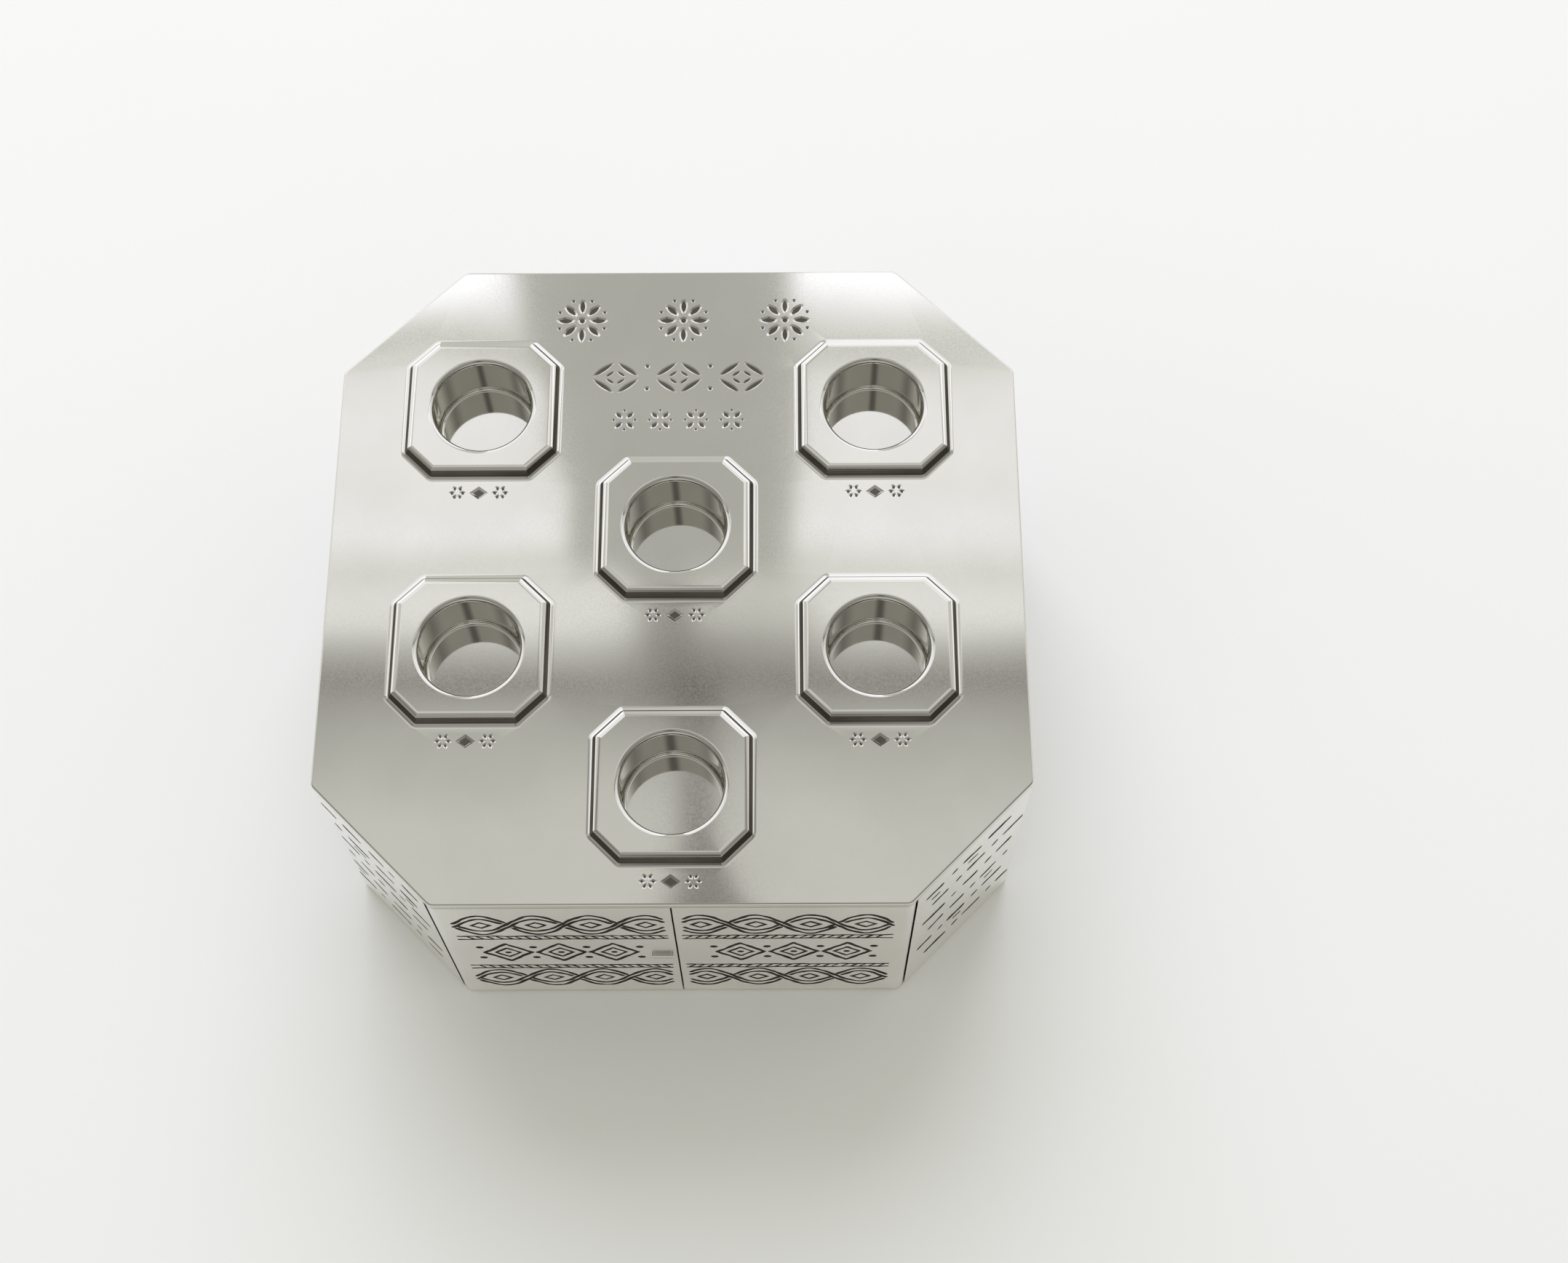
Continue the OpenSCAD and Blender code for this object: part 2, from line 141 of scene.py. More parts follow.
STAND = [(0.38, 0.0), (0.398, 0.05), (0.4168, 0.36), (0.436, 0.62), (0.447, 0.62), (0.458, 0.40),
         (0.478, 0.0)]
RAMP_HEADROOM = 1.1
LOWEST_RISE = 0.02

world = bpy.data.worlds.new("studio")
bpy.context.scene.world = world
world.use_nodes = True
sky = world.node_tree
sky.nodes.clear()


def fade(value, start, stop, low=0.0, high=1.0):
    """Goes smoothly from low to high while the value goes from start to stop."""
    node = add_node(sky, "ShaderNodeMapRange", {"interpolation_type": "SMOOTHSTEP"},
                    {"Value": value, "From Min": start, "From Max": stop, "To Min": low, "To Max": high})
    return node.outputs[0]


def reckon(operation, first, second):
    """One step of arithmetic."""
    return add_node(sky, "ShaderNodeMath", {"operation": operation}, {0: first, 1: second}).outputs[0]


def both(value, first, second):
    """Two soft edges of one value, multiplied."""
    return reckon("MULTIPLY", fade(value, *first), fade(value, *second))


def darken(shape, depth):
    """The share of light that is left where a dark shape stands."""
    return reckon("SUBTRACT", 1.0, reckon("MULTIPLY", shape, depth))


def ramp(value, start, stop, levels):
    """Brightness looked up along a row of levels. The ramp itself holds nothing above 1."""
    peak = RAMP_HEADROOM * max(level for place, level in levels)
    stops = [((place - start) / (stop - start), level / peak) for place, level in levels]
    share = add_node(sky, "ShaderNodeMapRange", inputs={"Value": value, "From Min": start, "From Max": stop})
    node = add_node(sky, "ShaderNodeValToRGB", inputs={0: share.outputs[0]}, stops=stops)
    node.color_ramp.interpolation = "CARDINAL"
    return reckon("MULTIPLY", node.outputs[0], peak)


look = add_node(sky, "ShaderNodeTexCoord")
heading = add_node(sky, "ShaderNodeSeparateXYZ", inputs={0: look.outputs["Generated"]})
rise = reckon("MAXIMUM", heading.outputs["Z"], LOWEST_RISE)
u = reckon("DIVIDE", heading.outputs["X"], rise)
v = reckon("DIVIDE", heading.outputs["Y"], rise)
beams = ramp(v, *BEAMS_SPAN, BEAMS)
room = ramp(v, *ROOM_SPAN, ROOM)
print("studio levels:", len(BEAMS), "overhead and", len(ROOM), "towards the camera")

# %% The grey gap between the side panels, which widens towards the back wall
GAP_GREY = (0.56, 0.56, 0.56, 1.0)
GAP_WALL = 0.55
GAP_STEP = (0.505, 0.535, 0.93, 1.04)
GAP_SIDES = (-0.117, -0.108), (0.0115, -0.002)
GAP_END = (0.452, 0.478)
far_scale = reckon("MAXIMUM", reckon("DIVIDE", v, GAP_WALL), 1.0)
gap_scale = reckon("MULTIPLY", far_scale, fade(v, *GAP_STEP))
gap_sides = both(reckon("DIVIDE", u, gap_scale), *GAP_SIDES)
gap = reckon("MULTIPLY", gap_sides, fade(v, *GAP_END))
overhead = add_node(sky, "ShaderNodeMix", {"data_type": "RGBA"}, {0: gap, 6: beams, 7: GAP_GREY}).outputs[2]

# %% The lamp stand, which leans, and its leg, which widens below its bend
STAND_LEAN = 0.2
STAND_LEFT = (0.010, 0.030)
STAND_RIGHT = (0.058, 0.038)
STAND_PENUMBRA = (0.12, 0.085, 0.0, 0.45)
LEG_BEND = 0.33
LEG_LEFT = (-0.055, -0.043)
LEG_LEFT_SPREAD = 0.2
LEG_RIGHT = (-0.027, -0.037)
LEG_RIGHT_SPREAD = 0.53
LEG_REACH = (0.22, 0.27), (0.425, 0.40)
LEG_DEPTH = (0.38, 0.33, 0.45, 0.60)
stand_u = reckon("ADD", u, reckon("MULTIPLY", v, STAND_LEAN))
stand_right = reckon("MAXIMUM", fade(stand_u, *STAND_RIGHT), fade(stand_u, *STAND_PENUMBRA))
stand_sides = reckon("MULTIPLY", fade(stand_u, *STAND_LEFT), stand_right)
stand = darken(stand_sides, ramp(v, *STAND_SPAN, STAND))
leg_low = reckon("MINIMUM", reckon("SUBTRACT", v, LEG_BEND), 0.0)
leg_left = fade(reckon("SUBTRACT", u, reckon("MULTIPLY", leg_low, LEG_LEFT_SPREAD)), *LEG_LEFT)
leg_right = fade(reckon("ADD", u, reckon("MULTIPLY", leg_low, LEG_RIGHT_SPREAD)), *LEG_RIGHT)
leg_depth = reckon("MULTIPLY", both(v, *LEG_REACH), fade(v, *LEG_DEPTH))
leg = darken(reckon("MULTIPLY", leg_left, leg_right), leg_depth)

# %% The tripod and the slots at both sides
TRIPOD_SIDES = (-0.14, -0.03), (0.11, 0.0)
TRIPOD_REACH = (-0.95, -0.70), (-0.20, -0.36, 0.0, 0.62)
SLOT_RIGHT = (0.24, 0.42), (1.3, 0.9)
SLOT_LEFT = (-0.30, -0.45), (-1.3, -0.9)
SLOT_REACH = (0.66, 0.55), (-0.30, -0.02)
SLOT_DEPTH = (0.30, 0.15, 0.33, 0.42)
tripod = darken(both(u, *TRIPOD_SIDES), both(v, *TRIPOD_REACH))
slot_sides = reckon("MAXIMUM", both(u, *SLOT_RIGHT), both(u, *SLOT_LEFT))
slots = darken(slot_sides, reckon("MULTIPLY", both(v, *SLOT_REACH), fade(v, *SLOT_DEPTH)))
dark_shapes = reckon("MULTIPLY", reckon("MULTIPLY", stand, leg), reckon("MULTIPLY", tripod, slots))

# %% The brighter side panels and the walls, which dim towards their foot
PANELS = (0.45, 1.1, 1.0, 1.02), (-0.45, -1.1, 1.0, 1.08)
FAR_PANEL = (0.74, 1.1, 1.0, 1.3)
WALLS = (1.0, 1.8, 1.0, 0.62), (-1.1, -1.9, 1.0, 0.72)
FOOT_BACK = (0.5, 0.95, 0.55, 0.95)
FOOT_TOP = 0.30
panels = reckon("MULTIPLY", both(u, *PANELS), fade(v, *FAR_PANEL))
wall_foot = fade(heading.outputs["Z"], 0.0, FOOT_TOP, fade(heading.outputs["Y"], *FOOT_BACK), 1.0)
sides = reckon("MULTIPLY", panels, reckon("MULTIPLY", both(u, *WALLS), wall_foot))

# %% Brightness and tint of the whole pattern
DIM_TINT = (1.0, 0.97, 0.952, 1.0)
MIDDLE_TINT = (1.0, 0.995, 0.985, 1.0)
BRIGHT_TINT = (1.0, 1.005, 1.12, 1.0)
DIM_TO_MIDDLE = (0.34, 0.50)
MIDDLE_TO_BRIGHT = (0.72, 1.40)
level = reckon("MULTIPLY", reckon("MULTIPLY", room, dark_shapes), sides)
glow = reckon("MULTIPLY", overhead, level)
lower_tint = add_node(sky, "ShaderNodeMix", {"data_type": "RGBA"},
                      {0: fade(glow, *DIM_TO_MIDDLE), 6: DIM_TINT, 7: MIDDLE_TINT})
tint = add_node(sky, "ShaderNodeMix", {"data_type": "RGBA"},
                {0: fade(glow, *MIDDLE_TO_BRIGHT), 6: lower_tint.outputs[2], 7: BRIGHT_TINT})
studio = add_node(sky, "ShaderNodeVectorMath", {"operation": "SCALE"}, {0: overhead, "Scale": level})
tinted = add_node(sky, "ShaderNodeVectorMath", {"operation": "MULTIPLY"},
                  {0: studio.outputs[0], 1: tint.outputs[2]})

# %% Which ray sees what
ray = add_node(sky, "ShaderNodeLightPath")
plain_or_gloss = add_node(sky, "ShaderNodeMix", {"data_type": "RGBA"},
                          {0: ray.outputs["Is Glossy Ray"], 6: AMBIENT, 7: tinted.outputs[0]})
all_rays = add_node(sky, "ShaderNodeMix", {"data_type": "RGBA"},
                    {0: ray.outputs["Is Camera Ray"], 6: plain_or_gloss.outputs[2], 7: colour(BACKDROP)})
background = add_node(sky, "ShaderNodeBackground", inputs={"Color": all_rays.outputs[2]})
add_node(sky, "ShaderNodeOutputWorld", inputs={"Surface": background.outputs[0]})

# %% [markdown]
# One broad soft lamp behind and above the object throws the wide pale shadow that lies in front
# of it. A sun with a large angle does this evenly over the whole table. It is hidden from glossy
# rays, because the studio pattern already gives the metal its reflections. The table is a white
# card with patches of tone, and a painted shade in its colour darkens it towards the camera and a
# little to the right.

# %% Lamp and table
lamp = bpy.data.lights.new("soft_window", "SUN")
lamp.energy = 2.03
lamp.color = colour("#edefff")[:3]
lamp.angle = math.radians(55)
window = bpy.data.objects.new("soft_window", lamp)
window.rotation_euler = (math.radians(-52), 0, math.radians(6))
window.visible_glossy = False
bpy.context.scene.collection.objects.link(window)

TABLE_SIDE = 8.0
CARD_PATCH = 0.4
CARD_PATCH_SHARE = 0.25
# Painted shade: the card's colour darkens from the far colour at the back to the near colour towards the
# camera.
CARD_TOWARDS_LIGHT = (-0.12, 1.0, 0.0)
CARD_NEAR_SHADED = "#ededea"
CARD_FAR_LIT = "#fafaf9"
CARD_SPAN = (-0.35, 0.65)
half = TABLE_SIDE / 2
table_mesh = bpy.data.meshes.new("table")
table_mesh.from_pydata([(-half, -half, 0), (half, -half, 0), (half, half, 0), (-half, half, 0)], [],
                       [(0, 1, 2, 3)])
table = bpy.data.objects.new("table", table_mesh)
bpy.context.scene.collection.objects.link(table)
card, card_tree, card_inputs, card_place = new_material("white_card")
card_patches = add_node(card_tree, "ShaderNodeTexNoise",
                        inputs={"Vector": card_place, "Scale": 1 / CARD_PATCH, "Detail": 4.0})
# Painted shade: this ramp makes the card darker towards the camera and a little to the right.
card_painted_shade = add_node(card_tree, "ShaderNodeVectorMath", {"operation": "DOT_PRODUCT"},
                      {0: card_place, 1: CARD_TOWARDS_LIGHT})
card_patches_and_shade = add_node(card_tree, "ShaderNodeMath", {"operation": "MULTIPLY_ADD"},
                      {0: card_patches.outputs[0], 1: CARD_PATCH_SHARE, 2: card_painted_shade.outputs["Value"]})
card_patch_and_shade_share = add_node(card_tree, "ShaderNodeMapRange", inputs={
    "Value": card_patches_and_shade.outputs[0], "From Min": CARD_SPAN[0], "From Max": CARD_SPAN[1]})
card_tone_and_shade = add_node(card_tree, "ShaderNodeMix", {"data_type": "RGBA"},
                     {0: card_patch_and_shade_share.outputs[0], 6: colour(CARD_NEAR_SHADED), 7: colour(CARD_FAR_LIT)})
card_tree.links.new(card_tone_and_shade.outputs[2], card_inputs["Base Color"])
card_inputs["Roughness"].default_value = 0.9
card_inputs["Specular IOR Level"].default_value = 0.0
table_mesh.materials.append(card)
bpy.context.scene.view_settings.view_transform = "Standard"

# %% [markdown]
# Silver plate is a thin coat of silver on brass. It is warm white, and its gloss depends on the
# last step: a cotton wheel leaves a mirror, a fine brush or blasting leaves satin. Both show tiny
# grain and long shallow waves in the sheet, which bend a reflection a little. One function
# makes all of these metals. Grain and wave are each a size in millimetres and a depth in
# micrometres, and roughness varies with the grain, so each finish reads like a workshop note.

# %% Metals
PATCH_MM = 35
PATCH_SPAN = (0.35, 0.65)
GRAIN_SPAN = (0.3, 0.7)


def metal(name, bright, dull, roughness, grain, wave=None, metallic=1.0, specular=0.5):
    """Metal from a polished to a matt finish. Patches vary from bright to dull."""
    made, tree, inputs, place = new_material(name)
    patches = add_node(tree, "ShaderNodeTexNoise",
                       inputs={"Vector": place, "Scale": 1 / (PATCH_MM * MM), "Detail": 4.0})
    dullness = add_node(tree, "ShaderNodeMapRange", inputs={
        "Value": patches.outputs[0], "From Min": PATCH_SPAN[0], "From Max": PATCH_SPAN[1]})
    tone = add_node(tree, "ShaderNodeMix", {"data_type": "RGBA"},
                    {0: dullness.outputs[0], 6: colour(bright), 7: colour(dull)})
    grains = add_node(tree, "ShaderNodeTexNoise",
                      inputs={"Vector": place, "Scale": 1 / (grain[0] * MM), "Detail": 2.0})
    gloss = add_node(tree, "ShaderNodeMapRange", inputs={
        "Value": grains.outputs[0], "From Min": GRAIN_SPAN[0], "From Max": GRAIN_SPAN[1],
        "To Min": roughness[0], "To Max": roughness[1]})
    bump = add_node(tree, "ShaderNodeBump",
                    inputs={"Height": grains.outputs[0], "Distance": grain[1] * MM * MM})
    if wave:
        waves = add_node(tree, "ShaderNodeTexNoise",
                         inputs={"Vector": place, "Scale": 1 / (wave[0] * MM), "Detail": 0.0})
        bump = add_node(tree, "ShaderNodeBump", inputs={
            "Height": waves.outputs[0], "Distance": wave[1] * MM * MM, "Normal": bump.outputs[0]})
    tree.links.new(tone.outputs[2], inputs["Base Color"])
    tree.links.new(gloss.outputs[0], inputs["Roughness"])
    tree.links.new(bump.outputs[0], inputs["Normal"])
    inputs["Metallic"].default_value = metallic
    inputs["Specular IOR Level"].default_value = specular
    return made


# Silver plate, machine polished: near mirror with a fine grain, drawn coarser than life to show.
DECK = metal("silver_plate_polished", "#dddcd2", "#d9d8ce", (0.045, 0.075), (0.9, 1.0), (80, 220))
# The wells are turned and buffed: a clean mirror.
WELL = metal("silver_plate_mirror", "#dcdbd2", "#d8d7ce", (0.04, 0.07), (1.2, 0.4), (25, 6))
# The case's sides are satin silver plate, which blurs what the table shows them.
SIDE = metal("silver_plate_satin", "#f4f3ef", "#edece7", (0.20, 0.27), (0.9, 2.0), (60, 25))
# The trays inside are bead-blasted and lacquered, which leaves a pale matt silver.
TRAY = metal("silver_plate_blasted", "#e4e3dc", "#dbdad2", (0.45, 0.55), (0.5, 1.0), metallic=0.5)
# Walls of an engraver's cuts: bare tool marks in bright silver.
CUT = metal("silver_cut", "#dddcd4", "#cfcec5", (0.10, 0.18), (0.5, 1.5))
# Floors of the cuts, darkened by the polish that stays in them. The same dark finish is also
# painted shade on each swelling, close under a dish's flange.
PATINA_AND_SHADE = metal("silver_patinated_and_painted_shade", "#67635a", "#57534a", (0.30, 0.42), (0.6, 3.0))
# Etched lines filled with oxidised silver: a brown-black matt film that no longer shines as metal.
OXIDE = metal("silver_oxidised", "#322e27", "#25211c", (0.60, 0.70), (0.5, 3.0), metallic=0.0, specular=0.08)
# Turned bright steel of rods, nuts, washers and strikes.
STEEL = metal("steel_turned", "#c9cacb", "#bcbdbf", (0.20, 0.30), (0.4, 2.0))
# Nickel-plated magnets.
NICKEL = metal("nickel_plate", "#b9b6ae", "#aeaba3", (0.15, 0.22), (0.6, 1.0))
print("materials so far:", len(bpy.data.materials))

# %% [markdown]
# The feet are moulded black rubber. Rubber scatters light in a broad dull sheen, so the base
# colour stays dark, the roughness is high, and a fine noise stands for the moulded skin.

# %% Rubber
SKIN_MM = 0.6
SKIN_DEPTH_MM = 0.03
RUBBER, rubber_tree, rubber_inputs, rubber_place = new_material("rubber_moulded")
rubber_skin = add_node(rubber_tree, "ShaderNodeTexNoise",
                       inputs={"Vector": rubber_place, "Scale": 1 / (SKIN_MM * MM), "Detail": 2.0})
rubber_bump = add_node(rubber_tree, "ShaderNodeBump",
                       inputs={"Height": rubber_skin.outputs[0], "Distance": SKIN_DEPTH_MM * MM})
rubber_tint = add_node(rubber_tree, "ShaderNodeMix", {"data_type": "RGBA"},
                       {0: rubber_skin.outputs[0], 6: colour("#1c1c1b"), 7: colour("#262624")})
rubber_tree.links.new(rubber_tint.outputs[2], rubber_inputs["Base Color"])
rubber_tree.links.new(rubber_bump.outputs[0], rubber_inputs["Normal"])
rubber_inputs["Roughness"].default_value = 0.8

# %% [markdown]
# The sizes below repeat the solid model's, in millimetres, so the new skins lie where the solids
# are. Only three are drawn a shade bolder, to show the photographed reflections: the swelling
# under each flange is 0.8 mm taller and 0.2 mm wider, and a well's mouth is 0.8 mm softer.

# %% Sizes
BODY = 340.0
CORNER_CUT = 59.0
EDGE_R = 5.0
BAND_W = 8.0
DECK_Z = 155.0
RIM_Z = 150.5
TOP_R = 1.0
DECK_T = 1.5
BASE_TOP = 3.5
WALL_T = 1.0
COLLAR_H = 2.4
COLLAR_SPREAD = 4.2
PAD_W = 72.4
PAD_CUT = 12.6
PAD_R = 0.8
CROWN_W = 3.0
CROWN_H = 0.7
FLANGE_Z = DECK_Z + COLLAR_H
FLANGE_TOP = 159.8
WELL_R = 24.5
WELL_FLOOR = 132.8
WELL_WALL = 1.0
MOUTH_R = 2.6
FLOOR_R = 2.0
HOLE_R = 25.9
HINGE = (108.92893, -165.0)
HINGE_GAP = 0.8
CORNER_STEPS = 10
PAD_STEPS = 6
POST = 132.01472
DISHES = {"back_left": (-98.3, 89.0), "back_right": (98.3, 89.0), "centre": (0.0, 22.5),
          "middle_left": (-98.3, -42.5), "middle_right": (98.3, -42.5), "front": (0.0, -112.0)}

# %% [markdown]
# The plan of the case and of each dish is a square with its corners cut and each of its eight
# corners rounded. A ring is that outline as a list of points, moved inwards by an inset. Rings
# with the same count of points can be joined into bands, which is how lofted skins are made.

# %% Outlines
def octagon(width, cut):
    """Eight corners, counterclockwise from the front end of the right side."""
    h = width / 2
    c = h - cut
    return [(h, -c), (h, c), (c, h), (-c, h), (-h, c), (-h, -c), (-c, -h), (c, -h)]


def inner_cut(cut, inset):
    """Corner cut of an octagon whose eight faces all move inwards by the inset."""
    return cut - (2 - math.sqrt(2)) * inset


def rounded_ring(width, cut, radius, steps):
    """Octagon outline with each corner drawn as an arc."""
    ring = []
    for i, (x, y) in enumerate(octagon(width - 2 * radius, inner_cut(cut, radius))):
        for k in range(steps + 1):
            a = math.radians(45 * (i - 1 + k / steps))
            ring.append((x + radius * math.cos(a), y + radius * math.sin(a)))
    return ring


def case_ring(inset):
    """Outline of the case, moved inwards."""
    return rounded_ring(BODY - 2 * inset, inner_cut(CORNER_CUT, inset), EDGE_R - inset, CORNER_STEPS)


def pad_ring(inset):
    """Outline of a dish, moved inwards."""
    return rounded_ring(PAD_W - 2 * inset, inner_cut(PAD_CUT, inset), max(PAD_R - inset, 0.1), PAD_STEPS)


def circle(x, y, radius, steps=96):
    """Round outline, counterclockwise."""
    turns = [2 * math.pi * k / steps for k in range(steps)]
    return [(x + radius * math.cos(a), y + radius * math.sin(a)) for a in turns]


def moved(ring, place):
    """The same outline somewhere else."""
    return [(x + place[0], y + place[1]) for x, y in ring]


print("case outline:", len(case_ring(0)), "points; dish outline:", len(pad_ring(0)), "points")

# %% [markdown]
# A piece is gathered face by face. Corners at the same place are shared, so that the faces close
# into one skin, as a casting's surface does.

# %% Gather a skin
FIRST, SECOND, THIRD = range(3)


class Shell:
    """Faces of one piece, in millimetres, each with the number of its finish. A piece that is drawn
    as seen from the front gives its corners as x, z, y."""

    def __init__(self, order=(0, 1, 2)):
        self.order = order
        self.corners = {}
        self.faces = []
        self.finishes = []

    def face(self, points, finish=FIRST):
        """Adds one face. Corners that fall together are dropped."""
        loop = []
        for point in points:
            key = tuple(round(point[i], 4) + 0.0 for i in self.order)
            number = self.corners.setdefault(key, len(self.corners))
            if number not in loop:
                loop.append(number)
        if len(loop) > 2:
            self.faces.append(loop)
            self.finishes.append(finish)

    def band(self, low, low_z, high, high_z, finish=FIRST):
        """Quads between two rings at two heights."""
        for i in range(len(low)):
            a, b, c, d = low[i - 1], low[i], high[i], high[i - 1]
            self.face([(*a, low_z), (*b, low_z), (*c, high_z), (*d, high_z)], finish)

    def stack(self, rings, finish=FIRST):
        """Bands through a list of (ring, height)."""
        for (low, low_z), (high, high_z) in zip(rings, rings[1:]):
            self.band(low, low_z, high, high_z, finish)


# %% [markdown]
# Flat faces with holes and engraving are hard to fill by hand. Constrained Delaunay
# triangulation fills them: it takes every outline, finds where they cross, and says for each
# triangle which outlines it lies in.

# %% Fill a flat drawing
TOUCH = 1e-4


def fill(loops):
    """Corners with their depths, and triangles with the set of loops that each lies in."""
    points = []
    faces = []
    for loop in loops:
        area = sum(a[0] * b[1] - b[0] * a[1] for a, b in zip(loop, loop[1:] + loop[:1]))
        faces.append(list(range(len(points), len(points) + len(loop))))
        points += loop if area > 0 else loop[::-1]
    made = delaunay_2d_cdt([Vector(p[:2]) for p in points], [], faces, 0, TOUCH)
    depths = [max([points[i][2] for i in source if len(points[i]) > 2], default=0.0)
              for source in made[3]]
    corners = [(p.x, p.y, d) for p, d in zip(made[0], depths)]
    return corners, [(list(t), set(i)) for t, i in zip(made[2], made[5])]


def draw_flat(shell, outline, holes, place, cuts=(), strokes=(), sunk=0.0):
    """Fills an outline round its holes. A cut is a pair of loops, its rim and its lower floor.
    A stroke is a loop that is sunk whole. place(x, y, depth) gives the point in space. Walls and
    strokes take the piece's second finish, and the floors of cuts its third."""
    rims = [c[0] for c in cuts]
    floors = [c[1] for c in cuts]
    corners, triangles = fill([outline, *holes, *rims, *floors, *strokes])
    first_rim = 1 + len(holes)
    first_floor = first_rim + len(rims)
    first_stroke = first_floor + len(floors)
    borders = {}
    for triangle, inside in triangles:
        if 0 not in inside or any(0 < i < first_rim for i in inside):
            continue
        innermost = max(inside)
        is_stroke = innermost >= first_stroke
        is_floor = first_floor <= innermost < first_stroke
        drop = sunk if is_stroke else 0.0
        finish = FIRST if innermost < first_rim else THIRD if is_floor else SECOND
        shell.face([place(corners[i][0], corners[i][1], corners[i][2] + drop) for i in triangle], finish)
        for a, b in zip(triangle, triangle[1:] + triangle[:1]):
            borders.setdefault((min(a, b), max(a, b)), set()).add(is_stroke)
    if sunk:
        for (a, b), kinds in borders.items():
            if len(kinds) == 2:
                pa, pb = corners[a][:2], corners[b][:2]
                shell.face([place(*pa, 0), place(*pb, 0), place(*pb, sunk), place(*pa, sunk)], SECOND)


def prism(shell, loops, keep, low, high, leave_open=None):
    """Stands a flat drawing up between two heights. keep(set of loops) says what is metal."""
    corners, triangles = fill(loops)
    borders = {}
    for triangle, inside in triangles:
        if not keep(inside):
            continue
        shell.face([(*corners[i][:2], high) for i in triangle])
        shell.face([(*corners[i][:2], low) for i in reversed(triangle)])
        for a, b in zip(triangle, triangle[1:] + triangle[:1]):
            edge = (min(a, b), max(a, b))
            borders[edge] = borders.get(edge, 0) + 1
    for (a, b), uses in borders.items():
        pa, pb = corners[a][:2], corners[b][:2]
        if uses == 1 and not (leave_open and leave_open(pa, pb)):
            shell.face([(*pa, low), (*pb, low), (*pb, high), (*pa, high)])


# %% [markdown]
# A gathered skin becomes a Blender object here. Faces are turned outwards. Edges sharper than
# 28 degrees stay sharp, and so does every edge where the finish changes, such as a cut's rim. The
# weighted-normal modifier keeps the flats truly flat beside their rounded edges, which matters on
# metal: a bent normal shows as a smear. Open edges are counted. The few that are left are hidden
# or hair-thin: where bosses meet the top's band, where a stroke ends on the rim of its face, and
# beside one door's barrel.

# %% Make a piece
SHARP_SKIN = math.radians(28)
FLATS_WEIGHT = 90
SAME_PLACE = 0.001


def make_piece(name, shell, finishes, body, slot, *nodes):
    """The object for a shell, riding on its body and standing for the solids that it replaces."""
    mesh = bpy.data.meshes.new(name)
    mesh.from_pydata([Vector(c) * MM for c in shell.corners], [], shell.faces)
    for finish in finishes:
        mesh.materials.append(finish)
    mesh.polygons.foreach_set("material_index", shell.finishes)
    build = bmesh.new()
    build.from_mesh(mesh)
    bmesh.ops.remove_doubles(build, verts=build.verts, dist=SAME_PLACE * MM)
    bmesh.ops.recalc_face_normals(build, faces=build.faces)
    open_edges = sum(1 for e in build.edges if not e.is_manifold)
    finish_edges = [e.index for e in build.edges if len({f.material_index for f in e.link_faces}) > 1]
    build.to_mesh(mesh)
    build.free()
    mesh.shade_smooth()
    mesh.set_sharp_from_angle(angle=SHARP_SKIN)
    for i in finish_edges:
        mesh.edges[i].use_edge_sharp = True
    made = bpy.data.objects.new(name, mesh)
    bpy.context.scene.collection.objects.link(made)
    flats = made.modifiers.new("flats stay flat", "WEIGHTED_NORMAL")
    flats.keep_sharp = True
    flats.weight = FLATS_WEIGHT
    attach(made, body)
    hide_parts(*nodes)
    print(name, "faces:", len(mesh.polygons), "open edges:", open_edges)
    return made


def arc(centre, radius, start, stop, steps):
    """Points of an arc in a section, as (distance, height)."""
    turns = [math.radians(start + (stop - start) * k / steps) for k in range(steps + 1)]
    return [(centre[0] + radius * math.cos(a), centre[1] + radius * math.sin(a)) for a in turns]


# %% [markdown]
# Engraving on silver is cut with a flat graver, which leaves shallow troughs that start as
# nothing, swell, and run out again. Each cut here is such a lens: a rim on the surface and a
# smaller floor below it. The walls stay bright and throw thin lights, and the floors darken.
# Round pits are punched and have the same two finishes.

# %% Engraver's cuts
WALL_SLOPE = 0.5
WALL_SHARE = 0.42
LENS_STEPS = 14
LENS_FULLNESS = 0.7
LENS_INSET = 1.8
PIT_STEPS = 20
GEM_FLOOR = 0.6
LOZENGE_GAP = 0.07


def lens_loop(start, stop, width):
    """Outline of a lens from start to stop, widest at its middle."""
    dx, dy = stop[0] - start[0], stop[1] - start[1]
    length = math.hypot(dx, dy)
    left, right_side = [], []
    for k in range(LENS_STEPS + 1):
        t = k / LENS_STEPS
        swell = math.sin(math.pi * t) ** LENS_FULLNESS * width / 2 / length
        x, y = start[0] + dx * t, start[1] + dy * t
        left.append((x - dy * swell, y + dx * swell))
        right_side.append((x + dy * swell, y - dx * swell))
    return left + right_side[-2:0:-1]


def lens(start, stop, width):
    """A cut from start to stop."""
    wall = width / 2 * WALL_SHARE
    inset = LENS_INSET * wall / math.dist(start, stop)
    near = [a + (b - a) * inset for a, b in zip(start, stop)]
    far = [b + (a - b) * inset for a, b in zip(start, stop)]
    floor = lens_loop(near, far, width - 2 * wall)
    return lens_loop(start, stop, width), [(x, y, wall * WALL_SLOPE) for x, y in floor]


def pit(x, y, radius):
    """A round pit."""
    wall = radius * WALL_SHARE
    floor = circle(x, y, radius - wall, PIT_STEPS)
    return circle(x, y, radius, PIT_STEPS), [(*p, wall * WALL_SLOPE) for p in floor]


def four_corners(wide, high):
    """Corners of a lozenge, counterclockwise."""
    return [(wide / 2, 0), (0, high / 2), (-wide / 2, 0), (0, -high / 2)]


